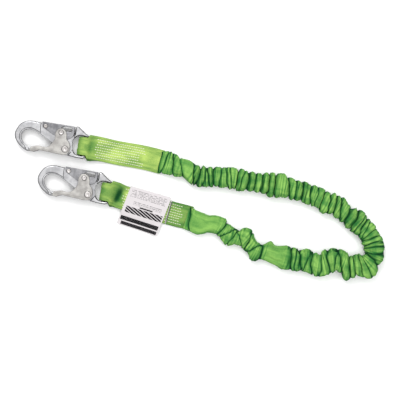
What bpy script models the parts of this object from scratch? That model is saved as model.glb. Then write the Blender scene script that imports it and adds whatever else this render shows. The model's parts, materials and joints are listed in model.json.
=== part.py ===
"""Shock absorbing lanyard: a gathered webbing shell over an energy-absorbing core, with a stitched
strap and a double-locking snap hook at each end. It lies relaxed on a flat surface in a U.

Metres, +Z up. The origin is under the middle of the lanyard, on the surface it lies on.
A hook is drawn in its own frame: the eye bar is at its origin, the strap leaves along +X, the lock
lever is on the +Y side and the gate opens towards it. u, v and z follow the lanyard: u is the
distance along it from the eye bar of hook A, v is across it and z is the height.
"""

import math

import bmesh
import bpy
from mathutils import Vector

MM = 0.001
GAP = 0.3 * MM  # between pieces that touch

# Webbing
WEB_WIDTH = 44.5 * MM
WEB_THICKNESS = 2.4 * MM
LOOP_WIDTH = 33.5 * MM  # the strap is bunched where it goes round the eye bar
LOOP_TAPER = 20 * MM  # the length over which it spreads to its full width
STRAP_LENGTH = {"a": 146 * MM, "b": 161 * MM}
LOOP_DROP = 42 * MM  # how far from the bar the two plies have come together
LINER_THICKNESS = 1.0 * MM
LINER_ARC = math.radians(230)

# Stretch shell, core and elastic
SHELL_WIDTH = 38 * MM
SHELL_HEIGHT = 22 * MM
SHELL_END_HEIGHT = 8.4 * MM
SHELL_WALL = 1.2 * MM
SHELL_TAPER = 60 * MM
SHELL_POWER = 4  # squareness of the flattened tube's section
SHELL_SIDES = 16
CORE_WIDTH = 22 * MM
CORE_THICKNESS = 2.8 * MM
ELASTIC_WIDTH = 12 * MM
ELASTIC_THICKNESS = 0.8 * MM
SOFT_STEP = 14 * MM  # between the stations of a soft piece

# Pack stitching
STITCH_ROWS = 7
STITCH_ROW_PITCH = 5 * MM
STITCH_LENGTH = {"a": 91 * MM, "b": 76 * MM}
STITCH_FROM_END = 12 * MM
THREAD_RADIUS = 0.45 * MM

# Label on strap B
LABEL_LENGTH = 75 * MM  # along the strap
LABEL_WIDTH = 79 * MM  # across the strap
LABEL_OVERHANG = 5 * MM  # past the strap's lever-side edge
LABEL_THICKNESS = 0.7 * MM
LABEL_TAB = 6 * MM
LABEL_FOLD = 0.9 * MM  # from the fold's axis to the page, which clears the tab as it flips
LABEL_FROM_BAR = 118 * MM
SEAM_RADIUS = 0.4 * MM
SEAM_ZIGZAG = 2.6 * MM
SEAM_STITCHES = 14

# Snap hook
BOW_HALF = 6.0 * MM
WEB_HALF = 3.5 * MM
BODY_EDGE = 1.6 * MM
BAR_RADIUS = 3.8 * MM
EYE_SIDE = LOOP_WIDTH / 2 + 1.0 * MM
EYE_ARM = 5.6 * MM
PLATE = 2.0 * MM  # steel of the gate and the lock lever
PLATE_SIDE_GAP = 0.6 * MM
LEVER_INNER = WEB_HALF + PLATE_SIDE_GAP
LEVER_OUTER = LEVER_INNER + PLATE
GATE_INNER = max(BOW_HALF, LEVER_OUTER) + PLATE_SIDE_GAP
GATE_OUTER = GATE_INNER + PLATE
RIVET_HEAD_HEIGHT = 1.5 * MM
HOOK_BELOW = GATE_OUTER + GAP + RIVET_HEAD_HEIGHT  # from the hook's middle plane down to its rivet heads
GATE_PIVOT = Vector((-34.4, -10.9, 0)) * MM
LEVER_PIVOT = Vector((-76.6, 25.6, 0)) * MM
LOCK_PIN = Vector((-46.0, 18.0, 0)) * MM
GATE_RIVET_RADIUS = 4.0 * MM
GATE_RIVET_HEAD = 6.4 * MM
LEVER_RIVET_RADIUS = 2.4 * MM
LEVER_RIVET_HEAD = 4.2 * MM
LEVER_RIVET_TOP = LEVER_OUTER + GAP + RIVET_HEAD_HEIGHT
LOCK_PIN_RADIUS = 2.5 * MM
LOCK_PIN_HEAD = 4.8 * MM
LEVER_LUG = 5.0 * MM
SLOT_CLEARANCE = 0.6 * MM
PIVOT_CLEARANCE = 0.3 * MM
ROUND_SIDES = 20

GATE_SPRING_WIRE = 0.45 * MM
GATE_SPRING_TURNS = 1.5
GATE_SPRING_PITCH = 1.1 * MM
LEVER_SPRING_HALF_WIDTH = 2.4 * MM
LEVER_SPRING_THICKNESS = 0.7 * MM

# The lanyard's lie, chosen by hand, from the eye bar of hook A to the eye bar of hook B
LIE = [
    (-219, 99), (-195, 95), (-160, 88), (-118, 80), (-77, 70), (-56, 64), (-33, 56), (-8, 44), (25, 42),
    (68, 38), (111, 30), (154, 23), (193, 12), (231, -4), (262, -23), (289, -46), (309, -70), (314, -95),
    (300, -117), (272, -121), (244, -114), (217, -119), (190, -114), (162, -109), (136, -103), (111, -97),
    (91, -87), (76, -74), (58, -67), (41, -58), (21, -47), (0, -43), (-24, -34), (-70, -21), (-116, -6),
    (-148, 5), (-162, 11.5), (-177, 14.5),
]  # fmt: skip

STEEL = dict(metallic=0.9, roughness=0.35)
CLOTH = dict(metallic=0.0, roughness=0.85)
FINISHES = {
    "forged_steel": dict(color=(0.62, 0.62, 0.6), **STEEL),
    "stamped_steel": dict(color=(0.5, 0.5, 0.48), **STEEL),
    "rivet_steel": dict(color=(0.7, 0.7, 0.68), **STEEL),
    "spring_steel": dict(color=(0.3, 0.3, 0.32), **STEEL),
    "green_webbing": dict(color=(0.1, 0.5, 0.03), **CLOTH),
    "core_webbing": dict(color=(0.75, 0.72, 0.6), **CLOTH),
    "elastic": dict(color=(0.8, 0.8, 0.78), **CLOTH),
    "pale_thread": dict(color=(0.75, 0.82, 0.45), **CLOTH),
    "label_film": dict(color=(0.85, 0.84, 0.84), metallic=0.0, roughness=0.5),
    "black_thread": dict(color=(0.02, 0.02, 0.02), **CLOTH),
}


# ---------------------------------------------------------------- scene helpers


def clear_scene():
    for item in list(bpy.data.objects):
        bpy.data.objects.remove(item)


def collection(name):
    made = bpy.data.collections.new(name)
    bpy.context.scene.collection.children.link(made)
    return made


def material(name):
    if name in bpy.data.materials:
        return bpy.data.materials[name]
    look = FINISHES[name]
    made = bpy.data.materials.new(name)
    made.use_nodes = True
    shader = made.node_tree.nodes["Principled BSDF"]
    shader.inputs["Base Color"].default_value = (*look["color"], 1)
    shader.inputs["Metallic"].default_value = look["metallic"]
    shader.inputs["Roughness"].default_value = look["roughness"]
    return made


def empty(name, parent=None, location=(0, 0, 0), turn=0.0):
    made = bpy.data.objects.new(name, None)
    made.parent = parent
    made.location = location
    made.rotation_euler.z = turn
    PARTS.objects.link(made)
    return made


def add(name, mesh, finish, parent, cutter=False):
    """An object for a mesh that is drawn in its parent's frame."""
    made = bpy.data.objects.new(name, mesh)
    made.parent = parent
    (CUTTERS if cutter else PARTS).objects.link(made)
    if cutter:
        made.hide_render = True
        made.display_type = "WIRE"
    else:
        mesh.materials.clear()
        mesh.materials.append(material(finish))
        mesh.shade_smooth()
        mesh.set_sharp_from_angle(angle=math.radians(35))
    return made


def mesh_of_curve(curve):
    """The curve's evaluated mesh, with its loose caps welded."""
    carrier = bpy.data.objects.new(curve.name, curve)
    PARTS.objects.link(carrier)
    seen = carrier.evaluated_get(bpy.context.evaluated_depsgraph_get())
    mesh = bpy.data.meshes.new_from_object(seen)
    bpy.data.objects.remove(carrier)
    shape = bmesh.new()
    shape.from_mesh(mesh)
    bmesh.ops.remove_doubles(shape, verts=shape.verts, dist=0.01 * MM)
    bmesh.ops.recalc_face_normals(shape, faces=shape.faces)
    shape.to_mesh(mesh)
    shape.free()
    return mesh


def boolean(piece, operation, other):
    change = piece.modifiers.new(f"{operation} {other.name}".lower(), "BOOLEAN")
    change.operation = operation
    change.object = other


# ---------------------------------------------------------------- shapes


def circle(centre, radius, sides=ROUND_SIDES):
    turns = [2 * math.pi * i / sides for i in range(sides)]
    return [(centre[0] + radius * math.cos(t), centre[1] + radius * math.sin(t)) for t in turns]


def plate(name, outlines, half, edge=0.0, resolution=4):
    """A flat plate, from -half to +half, of an outline and its holes.

    A point (x, y) is a corner, and (x, y, 1) is on a smooth stretch. edge rounds the rims.
    """
    curve = bpy.data.curves.new(name, "CURVE")
    curve.dimensions = "2D"
    curve.fill_mode = "BOTH"
    curve.resolution_u = resolution
    curve.extrude = half - edge
    curve.bevel_depth = edge
    curve.bevel_resolution = 0
    curve.offset = -edge
    for points in outlines:
        smooth = any(len(p) == 3 for p in points)
        spline = curve.splines.new("BEZIER" if smooth else "POLY")
        spline.use_cyclic_u = True
        knots = spline.bezier_points if smooth else spline.points
        knots.add(len(points) - 1)
        for knot, p in zip(knots, points):
            if smooth:
                knot.co = (p[0], p[1], 0)
                kind = "AUTO" if len(p) == 3 else "VECTOR"
                knot.handle_left_type = knot.handle_right_type = kind
            else:
                knot.co = (p[0], p[1], 0, 1)
    return mesh_of_curve(curve)


def wire(name, points, radius, resolution=2):
    """A round wire along points."""
    curve = bpy.data.curves.new(name, "CURVE")
    curve.dimensions = "3D"
    curve.bevel_depth = radius
    curve.bevel_resolution = resolution
    curve.use_fill_caps = True
    spline = curve.splines.new("POLY")
    spline.points.add(len(points) - 1)
    for knot, p in zip(spline.points, points):
        knot.co = (*p, 1)
    return mesh_of_curve(curve)


def turned(name, profile, finish, parent):
    """A turned piece. The profile runs down its outer side as (radius, height)."""
    mesh = bpy.data.meshes.new(name)
    ends = range(len(profile) - 1)
    mesh.from_pydata([(r, 0, z) for r, z in profile], [(i, i + 1) for i in ends], [])
    made = add(name, mesh, finish, parent)
    lathe = made.modifiers.new("lathe", "SCREW")
    lathe.axis = "Z"
    lathe.steps = lathe.render_steps = ROUND_SIDES
    lathe.use_merge_vertices = True
    lathe.merge_threshold = 0.01 * MM
    return made


def rivet(name, shaft, head, inner, top, parent):
    """A double-headed rivet. Its heads stand from inner to top on both sides."""
    dome = (top - inner) / 2
    upper = [(0, top), (head - dome, top), (head, top - dome), (head, inner), (shaft, inner)]
    lower = [(r, -z) for r, z in reversed(upper)]
    return turned(name, upper + lower, "rivet_steel", parent)


def loft(name, rings, caps=True):
    """A skin over a row of rings that all have the same number of points."""
    shape = bmesh.new()
    rows = [[shape.verts.new(p) for p in ring] for ring in rings]
    count = len(rows[0])
    for here, there in zip(rows, rows[1:]):
        for i in range(count):
            j = (i + 1) % count
            shape.faces.new((here[i], here[j], there[j], there[i]))
    if caps:
        shape.faces.new(reversed(rows[0]))
        shape.faces.new(rows[-1])
    bmesh.ops.recalc_face_normals(shape, faces=shape.faces)
    mesh = bpy.data.meshes.new(name)
    shape.to_mesh(mesh)
    shape.free()
    return mesh


# ---------------------------------------------------------------- the lanyard's lie


class Lie:
    """A smooth curve through the points of the lanyard's lie, read by the distance along it."""

    PER_SPAN = 12

    def __init__(self, points):
        knots = [Vector((x * MM, y * MM, 0)) for x, y in points]
        knots = [2 * knots[0] - knots[1], *knots, 2 * knots[-1] - knots[-2]]
        self.line = []
        for a, b, c, d in zip(knots, knots[1:], knots[2:], knots[3:]):
            for i in range(self.PER_SPAN):
                t = i / self.PER_SPAN
                self.line.append(
                    (2 * b + (c - a) * t + (2 * a - 5 * b + 4 * c - d) * t**2
                     + (3 * b - a - 3 * c + d) * t**3) / 2
                )  # fmt: skip
        self.line.append(knots[-2])
        self.along = [0.0]
        for here, there in zip(self.line, self.line[1:]):
            self.along.append(self.along[-1] + (there - here).length)
        self.length = self.along[-1]

    def point(self, u):
        """The point at distance u, on a straight run past either end."""
        if u <= 0:
            return self.line[0] + u * (self.line[1] - self.line[0]).normalized()
        if u >= self.length:
            ahead = (self.line[-1] - self.line[-2]).normalized()
            return self.line[-1] + (u - self.length) * ahead
        k = max(i for i, at in enumerate(self.along) if at <= u)
        share = (u - self.along[k]) / (self.along[k + 1] - self.along[k])
        return self.line[k].lerp(self.line[k + 1], share)

    def direction(self, u):
        reach = 5 * MM
        return (self.point(u + reach) - self.point(u - reach)).normalized()

    def place(self, u, v, z):
        ahead = self.direction(u)
        across = Vector((-ahead.y, ahead.x, 0))
        return self.point(u) + v * across + Vector((0, 0, z))

    def from_end(self, end, u):
        """The distance along the lanyard of a place u from the eye bar of hook A or hook B."""
        return u if end == "a" else self.length - u


def smoothstep(share):
    share = min(max(share, 0), 1)
    return share * share * (3 - 2 * share)


def stations(start, stop, step):
    count = max(2, math.ceil((stop - start) / step))
    return [start + (stop - start) * i / count for i in range(count + 1)]


# ---------------------------------------------------------------- soft pieces

PLY_LOW = WEB_THICKNESS / 2
PLY_HIGH = PLY_LOW + WEB_THICKNESS + GAP
PACK_TOP = PLY_HIGH + WEB_THICKNESS / 2
LOOP_RADIUS = BAR_RADIUS + GAP + LINER_THICKNESS + GAP + WEB_THICKNESS / 2


def strap_half_width(u):
    start = LOOP_RADIUS
    return (LOOP_WIDTH + (WEB_WIDTH - LOOP_WIDTH) * smoothstep((u - start) / LOOP_TAPER)) / 2


def ribbon_rings(path, thickness, half_width, lie, end):
    """Rings for a flat ribbon whose middle follows (u, z) points from a hook's eye bar."""
    rings = []
    for i, (u, z) in enumerate(path):
        before, after = path[max(i - 1, 0)], path[min(i + 1, len(path) - 1)]
        run, rise = after[0] - before[0], after[1] - before[1]
        size = math.hypot(run, rise)
        out_u, out_z = -rise / size * thickness / 2, run / size * thickness / 2
        half = half_width(u)
        corners = [(out_u, out_z, half), (out_u, out_z, -half), (-out_u, -out_z, -half), (-out_u, -out_z, half)]
        rings.append([lie.place(lie.from_end(end, u + du), v, z + dz) for du, dz, v in corners])
    return rings


def end_strap(end, lie):
    """The webbing from the pack's end along its lower ply, round the eye bar and back on top."""
    middle = HOOK_BELOW
    low, high = middle - LOOP_RADIUS, middle + LOOP_RADIUS
    flat = stations(LOOP_DROP, STRAP_LENGTH[end], 3 * SOFT_STEP)
    slope = stations(0, LOOP_DROP, LOOP_DROP / 10)[1:-1]
    lower = [(u, PLY_LOW) for u in reversed(flat)]
    lower += [(u, low + (PLY_LOW - low) * smoothstep(u / LOOP_DROP)) for u in reversed(slope)]
    turn = [math.pi * i / 12 for i in range(13)]
    loop = [(-LOOP_RADIUS * math.sin(t), middle - LOOP_RADIUS * math.cos(t)) for t in turn]
    upper = [(u, high + (PLY_HIGH - high) * smoothstep(u / LOOP_DROP)) for u in slope]
    upper += [(u, PLY_HIGH) for u in flat]
    rings = ribbon_rings(lower + loop + upper, WEB_THICKNESS, strap_half_width, lie, end)
    add(f"end_strap_{end}", loft(f"end_strap_{end}", rings), "green_webbing", ROOT)


def wear_liner(end, lie):
    """The lining between the strap's loop and the eye bar."""
    radius = BAR_RADIUS + GAP + LINER_THICKNESS / 2
    turns = [math.pi / 2 - LINER_ARC / 2 + LINER_ARC * i / 14 for i in range(15)]
    path = [(-radius * math.sin(t), HOOK_BELOW - radius * math.cos(t)) for t in turns]
    rings = ribbon_rings(path, LINER_THICKNESS, lambda u: LOOP_WIDTH / 2, lie, end)
    add(f"wear_liner_{end}", loft(f"wear_liner_{end}", rings), "core_webbing", ROOT)


def pack_stitching(end, lie):
    """Rows of one thread, to and fro along the flat of the pack, clear of the rise to the eye bar."""
    stop = STRAP_LENGTH[end] - STITCH_FROM_END
    start = max(stop - STITCH_LENGTH[end], LOOP_DROP)
    height = PACK_TOP + GAP + THREAD_RADIUS
    turn = STITCH_ROW_PITCH / 2
    route = []
    for row in range(STITCH_ROWS):
        v = (row - (STITCH_ROWS - 1) / 2) * STITCH_ROW_PITCH
        run = [(u, v) for u in stations(start, stop, SOFT_STEP)]
        side = 1 if row % 2 == 0 else -1
        route += run[::side]
        if row < STITCH_ROWS - 1:
            centre = (stop if side > 0 else start, v + turn)
            angles = [math.pi * k / 6 for k in range(1, 6)]
            route += [
                (centre[0] + side * turn * math.sin(a), centre[1] - turn * math.cos(a)) for a in angles
            ]
    points = [lie.place(lie.from_end(end, u), v, height) for u, v in route]
    name = f"pack_stitching_{end}"
    add(name, wire(name, points, THREAD_RADIUS, resolution=1), "pale_thread", ROOT)


def shell_size(lie, u, start, stop):
    """Half the shell's width and half its height at u."""
    share = smoothstep(min(u - start, stop - u) / SHELL_TAPER)
    width = WEB_WIDTH + (SHELL_WIDTH - WEB_WIDTH) * share
    height = SHELL_END_HEIGHT + (SHELL_HEIGHT - SHELL_END_HEIGHT) * share
    return width / 2, height / 2


def stretch_shell(lie, start, stop):
    """The tubular jacket, open at both ends."""
    rings = []
    for u in stations(start, stop, SOFT_STEP):
        half_width, half_height = shell_size(lie, u, start, stop)
        ring = []
        for i in range(SHELL_SIDES):
            angle = 2 * math.pi * (i + 0.5) / SHELL_SIDES
            c, s = math.cos(angle), math.sin(angle)
            v = half_width * math.copysign(abs(c) ** (2 / SHELL_POWER), c)
            z = half_height * math.copysign(abs(s) ** (2 / SHELL_POWER), s)
            ring.append(lie.place(u, v, half_height + z))
        rings.append(ring)
    made = add("stretch_shell", loft("stretch_shell", rings, caps=False), "green_webbing", ROOT)
    wall = made.modifiers.new("wall", "SOLIDIFY")
    wall.thickness = SHELL_WALL
    wall.offset = -1
    wall.use_even_offset = True


def inner_tape(name, lie, start, stop, width, thickness, above_middle, finish):
    """A flat tape that runs the length of the shell, at a height over the shell's middle."""
    rings = []
    for u in stations(start, stop, SOFT_STEP):
        middle = shell_size(lie, u, start, stop)[1] + above_middle
        corners = [(1, 1), (-1, 1), (-1, -1), (1, -1)]
        rings.append([lie.place(u, v * width / 2, middle + z * thickness / 2) for v, z in corners])
    add(name, loft(name, rings), finish, ROOT)


def soft_middle(lie):
    start, stop = STRAP_LENGTH["a"] + GAP, lie.length - STRAP_LENGTH["b"] - GAP
    stretch_shell(lie, start, stop)
    inner_tape("energy_core", lie, start, stop, CORE_WIDTH, CORE_THICKNESS, 0, "core_webbing")
    over_core = (CORE_THICKNESS + ELASTIC_THICKNESS) / 2 + GAP
    inner_tape("elastic_tape", lie, start, stop, ELASTIC_WIDTH, ELASTIC_THICKNESS, over_core, "elastic")


# ---------------------------------------------------------------- label


def label(lie):
    """The label page, the tab that is sewn to strap B, and the seam on it."""
    hinge_u = lie.from_end("b", LABEL_FROM_BAR)
    toward_hook = lie.direction(hinge_u)
    turn = math.atan2(toward_hook.y, toward_hook.x)
    bottom = PACK_TOP + 2 * GAP + 2 * THREAD_RADIUS
    middle = bottom + LABEL_THICKNESS / 2
    fold = empty("label_fold", ROOT, lie.place(hinge_u, 0, middle), turn)
    # In the fold's frame +X leads to hook B, and +Y to the side away from the strap's lever side.
    near = -(WEB_WIDTH / 2 + LABEL_OVERHANG)
    far = near + LABEL_WIDTH
    page = [(LABEL_FOLD, near), (LABEL_LENGTH, near), (LABEL_LENGTH, far), (LABEL_FOLD, far)]
    add("label_page", plate("label_page", [page], LABEL_THICKNESS / 2), "label_film", fold)
    inset = WEB_WIDTH / 2 - 1 * MM
    tab = [(-LABEL_TAB, -inset), (-GAP / 2, -inset), (-GAP / 2, inset), (-LABEL_TAB, inset)]
    add("label_tab", plate("label_tab", [tab], LABEL_THICKNESS / 2), "label_film", fold)
    height = LABEL_THICKNESS / 2 + GAP + SEAM_RADIUS
    half = inset - 2 * MM
    zigzag = []
    for i in range(SEAM_STITCHES + 1):
        side = SEAM_ZIGZAG / 2 if i % 2 else -SEAM_ZIGZAG / 2
        zigzag.append((side - LABEL_TAB / 2, -half + 2 * half * i / SEAM_STITCHES, height))
    add("label_seam", wire("label_seam", zigzag, SEAM_RADIUS, resolution=1), "black_thread", fold)


# ---------------------------------------------------------------- snap hook


def mm(*points):
    return [(p[0] * MM, p[1] * MM, *p[2:]) for p in points]


def arc(centre, radius, start, stop, count):
    """Points on an arc, angles in degrees."""
    angles = [math.radians(start + (stop - start) * i / (count - 1)) for i in range(count)]
    return [(centre[0] + radius * math.cos(a), centre[1] + radius * math.sin(a)) for a in angles]


def hook_body(end, hook):
    """The forged body: bow, nose, spine, and the two arms of the eye, joined by the round bar."""
    arm_end = BAR_RADIUS + 1.2 * MM
    side, outer = EYE_SIDE, EYE_SIDE + EYE_ARM
    lug = arc(LEVER_PIVOT, LEVER_LUG, 100, -40, 6)
    outline = (
        mm((-95, -24.2), (-105, -24.4, 1), (-114.5, -19.5, 1), (-124.6, -11, 1), (-130.6, 1, 1),
           (-127.5, 15, 1), (-119, 26, 1), (-106, 31, 1), (-90, 30.8, 1))
        + lug
        + mm((-66, 17), (-56, 12.6), (-33, 11.4), (-25, 14.4), (-20.4, 18), (-20.4, 33.6), (-15.8, 34))
        + [(-1 * MM, outer), (arm_end, outer - 3 * MM), (arm_end, side), (-13 * MM, side)]
        + mm((-18, 14.6), (-22.6, 9, 1), (-23.4, 1, 1), (-21.4, -8, 1), (-17, -15))
        + [(-12 * MM, -side), (arm_end, -side), (arm_end, -outer + 3 * MM), (-1 * MM, -outer)]
        + mm((-14, -23.2), (-29, -21.6, 1), (-38.6, -20.6), (-42, -15.6), (-50, -8.5), (-62, -2.2),
             (-77.5, 6.1), (-92, 12.6, 1), (-104, 15.4, 1), (-113.5, 12.2, 1), (-118.4, 6),
             (-118.4, -2), (-115.4, -7.4, 1), (-110, -12.4, 1), (-103.5, -16.4, 1), (-95, -17.4))
    )  # fmt: skip
    body = add(f"hook_body_{end}", plate("hook_body", [outline], BOW_HALF, BODY_EDGE, 3), "forged_steel", hook)

    bar = bmesh.new()
    bmesh.ops.create_cone(
        bar, cap_ends=True, segments=ROUND_SIDES, radius1=BAR_RADIUS, radius2=BAR_RADIUS,
        depth=2 * side + EYE_ARM,
    )  # fmt: skip
    bar_mesh = bpy.data.meshes.new("eye_bar")
    bar.to_mesh(bar_mesh)
    bar.free()
    eye_bar = add(f"eye_bar_tool_{end}", bar_mesh, None, hook, cutter=True)
    eye_bar.rotation_euler.x = math.pi / 2
    boolean(body, "UNION", eye_bar)

    pocket = mm((-88, 45), (-88, 21), (-82, 2), (-82, -40), (-40, -40), (-21, -12), (-21, 45))
    depth = BOW_HALF
    for side_name, level in (("top", WEB_HALF + depth / 2), ("bottom", -WEB_HALF - depth / 2)):
        cutter = add(f"pocket_{side_name}_{end}", plate("pocket", [pocket], depth / 2), None, hook, cutter=True)
        cutter.location.z = level
        boolean(body, "DIFFERENCE", cutter)
    holes = [
        circle(GATE_PIVOT, GATE_RIVET_RADIUS + PIVOT_CLEARANCE),
        circle(LEVER_PIVOT, LEVER_RIVET_RADIUS + PIVOT_CLEARANCE),
    ]
    for number, hole in enumerate(holes):
        cutter = add(f"rivet_hole_{number}_{end}", plate("rivet_hole", [hole], 2 * BOW_HALF), None, hook, cutter=True)
        boolean(body, "DIFFERENCE", cutter)


def moved(points, pivot):
    """Outline points in the frame of a pivot."""
    return [(p[0] - pivot.x, p[1] - pivot.y, *p[2:]) for p in points]


def channel(name, outlines, inside, inner, outer, pivot, axis, end):
    """A stamped channel: an outlined plate from -outer to outer, hollowed by inside from -inner to inner."""
    shape = plate(name, [moved(points, pivot) for points in outlines], outer)
    made = add(f"{name}_{end}", shape, "stamped_steel", axis)
    hollow = plate(f"{name}_inside", [moved(inside, pivot)], inner)
    cutter = add(f"{name}_inside_{end}", hollow, None, axis, cutter=True)
    boolean(made, "DIFFERENCE", cutter)
    return made


def gate(end, axis):
    outline = mm(
        (-99.3, -23.6), (-96.6, -15.9), (-82.9, -12.4, 1), (-74.2, -13, 1), (-66, -11, 1), (-60.4, -5.1, 1),
        (-56, 4.4, 1), (-56, 16.8, 1), (-51, 24.6, 1), (-41, 24.4, 1), (-36, 17.4, 1), (-34, 7.6, 1),
        (-28.6, 1.5, 1), (-26, -10, 1), (-29.6, -19.5, 1), (-40, -22.2), (-64, -21), (-81.6, -19.8),
        (-92, -25),
    )  # fmt: skip
    holes = [
        circle(GATE_PIVOT, GATE_RIVET_RADIUS + PIVOT_CLEARANCE),
        circle(LOCK_PIN, LOCK_PIN_RADIUS + PIVOT_CLEARANCE),
    ]
    wall = PLATE / MM
    inside = mm(
        (-110, -50), (-93, -50), (-93, -23.4), (-81.6, -19.8 + wall), (-64, -21 + wall), (-46.5, -21.8 + wall),
        (-46.5, -50), (-10, -50), (-10, 50), (-110, 50),
    )  # fmt: skip
    channel("gate", [outline, *holes], inside, GATE_INNER, GATE_OUTER, GATE_PIVOT, axis, end)


def lock_lever(end, axis):
    outline = mm(
        (-83.6, 33), (-22.8, 33), (-24.4, 14, 1), (-31.5, 8.6, 1), (-46, 8.4, 1), (-60, 11.7), (-82, 23.5)
    )
    # The slot that the lock pin runs in as the gate opens, and the window that it joins.
    run = Vector((12.0, 8.9, 0)).normalized()
    reach = LOCK_PIN_RADIUS + SLOT_CLEARANCE
    low = LOCK_PIN + reach * Vector((run.y, -run.x, 0))
    back = LOCK_PIN - reach * run
    high = LOCK_PIN - reach * Vector((run.y, -run.x, 0))
    window_low, window_high = 22 * MM, 30.6 * MM
    low_end = low + run * (window_low - low.y) / run.y
    slot = [
        (low.x, low.y), (low.x - 2.2 * MM, low.y - 0.6 * MM, 1), (back.x, back.y, 1),
        (high.x - 1.2 * MM, high.y - 1.6 * MM, 1), (high.x, high.y), (high.x + 0.6 * MM, 27 * MM, 1),
        (high.x + 5 * MM, window_high), (-28.6 * MM, window_high), (-26.8 * MM, 27.5 * MM, 1),
        (-27.4 * MM, window_low), (low_end.x, window_low),
    ]  # fmt: skip
    pivot_hole = circle(LEVER_PIVOT, LEVER_RIVET_RADIUS + PIVOT_CLEARANCE)
    roof = 33 * MM - PLATE
    inside = mm((-100, 50), (-100, -20), (-10, -20), (-10, 50), (-27, 50)) + [
        (-27 * MM, roof), (-79 * MM, roof), (-79 * MM, 50 * MM)
    ]  # fmt: skip
    channel("lock_lever", [outline, slot, pivot_hole], inside, LEVER_INNER, LEVER_OUTER, LEVER_PIVOT, axis, end)


def gate_spring(end, hook):
    """A torsion spring round the gate rivet, with a leg in the gate and one against the eye."""
    radius = GATE_RIVET_RADIUS + PIVOT_CLEARANCE + GAP + GATE_SPRING_WIRE
    start = WEB_HALF + GAP + GATE_SPRING_WIRE
    steps = int(14 * GATE_SPRING_TURNS)
    first = math.radians(-110)
    coil = []
    for i in range(steps + 1):
        share = i / steps
        angle = first - 2 * math.pi * GATE_SPRING_TURNS * share
        coil.append(GATE_PIVOT + Vector((radius * math.cos(angle), radius * math.sin(angle),
                                         start + GATE_SPRING_PITCH * GATE_SPRING_TURNS * share)))  # fmt: skip
    into_gate = GATE_PIVOT + Vector((-15 * MM, -7.4 * MM, start))
    to_eye = Vector((coil[-1].x + 7 * MM, coil[-1].y + 0.5 * MM, coil[-1].z))
    name = f"gate_spring_{end}"
    add(name, wire(name, [into_gate, *coil, to_eye], GATE_SPRING_WIRE, 1), "spring_steel", hook)


def lever_spring(end, hook):
    """A bent leaf between the spine and the roof of the lock lever."""
    foot = Vector((-60.0, 15.6)) * MM
    roof = 33 * MM - PLATE - GAP - LEVER_SPRING_THICKNESS
    t = LEVER_SPRING_THICKNESS
    leaf = [
        (foot.x, foot.y), (foot.x + 5 * MM, foot.y - 1.2 * MM), (foot.x + 5 * MM, foot.y - 1.2 * MM + t),
        (foot.x + t, foot.y + t), (-66 * MM, 24 * MM), (-61 * MM, roof), (-53 * MM, roof),
        (-53 * MM, roof + t), (-61.4 * MM, roof + t), (-66 * MM - t, 24 * MM),
    ]  # fmt: skip
    name = f"lever_spring_{end}"
    add(name, plate(name, [leaf], LEVER_SPRING_HALF_WIDTH), "spring_steel", hook)


def snap_hook(end, lie):
    """All of one hook. It swings on its eye bar, which lies across the end of the lanyard."""
    bar = lie.point(lie.from_end(end, 0))
    ahead = lie.direction(lie.from_end(end, 0))
    if end == "b":
        ahead = -ahead
    hook = empty(f"hook_swing_{end}", ROOT, bar + Vector((0, 0, HOOK_BELOW)), math.atan2(ahead.y, ahead.x))
    gate_axis = empty(f"gate_axis_{end}", hook, GATE_PIVOT)
    lever_axis = empty(f"lever_axis_{end}", hook, LEVER_PIVOT)
    hook_body(end, hook)
    gate(end, gate_axis)
    lock_lever(end, lever_axis)
    head_inner = GATE_OUTER + GAP
    gate_rivet = rivet(f"gate_rivet_{end}", GATE_RIVET_RADIUS, GATE_RIVET_HEAD, head_inner, HOOK_BELOW, hook)
    gate_rivet.location = GATE_PIVOT
    lever_rivet = rivet(
        f"lever_rivet_{end}", LEVER_RIVET_RADIUS, LEVER_RIVET_HEAD, LEVER_OUTER + GAP, LEVER_RIVET_TOP, hook
    )
    lever_rivet.location = LEVER_PIVOT
    pin = rivet(f"lock_pin_{end}", LOCK_PIN_RADIUS, LOCK_PIN_HEAD, head_inner, HOOK_BELOW, gate_axis)
    pin.location = LOCK_PIN - GATE_PIVOT
    gate_spring(end, hook)
    lever_spring(end, hook)


# ---------------------------------------------------------------- the whole


def centre_on_origin():
    """Moves the whole lanyard so that the middle of its plan is over the origin."""
    bpy.context.view_layer.update()
    seen = bpy.context.evaluated_depsgraph_get()
    places = []
    for item in PARTS.objects:
        if item.type == "MESH":
            shape = item.evaluated_get(seen)
            places += [item.matrix_world @ v.co for v in shape.data.vertices]
    for axis in (0, 1):
        values = [p[axis] for p in places]
        ROOT.location[axis] -= (min(values) + max(values)) / 2
    ROOT.location.z -= min(p.z for p in places)
    bpy.context.view_layer.update()


clear_scene()
PARTS = collection("shock absorbing lanyard")
CUTTERS = collection("cutters")
ROOT = empty("lanyard")
lanyard_lie = Lie(LIE)
for hook_end in ("a", "b"):
    end_strap(hook_end, lanyard_lie)
    wear_liner(hook_end, lanyard_lie)
    pack_stitching(hook_end, lanyard_lie)
    snap_hook(hook_end, lanyard_lie)
soft_middle(lanyard_lie)
label(lanyard_lie)
centre_on_origin()
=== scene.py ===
"""The finished look of a shock absorbing lanyard: webbing, gathered shell, snap hooks, label and thread.

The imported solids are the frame. Everything is in metres in that frame. A hook is drawn in its own
frame, with its eye bar at the origin and its strap along +X. u, v and z follow the lanyard: u is the
distance along it from the eye bar of hook A, v is across it and z is the height.
"""

import functools
import json
import math

import bmesh
import bpy
import numpy as np
from mathutils import Matrix, Vector


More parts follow.
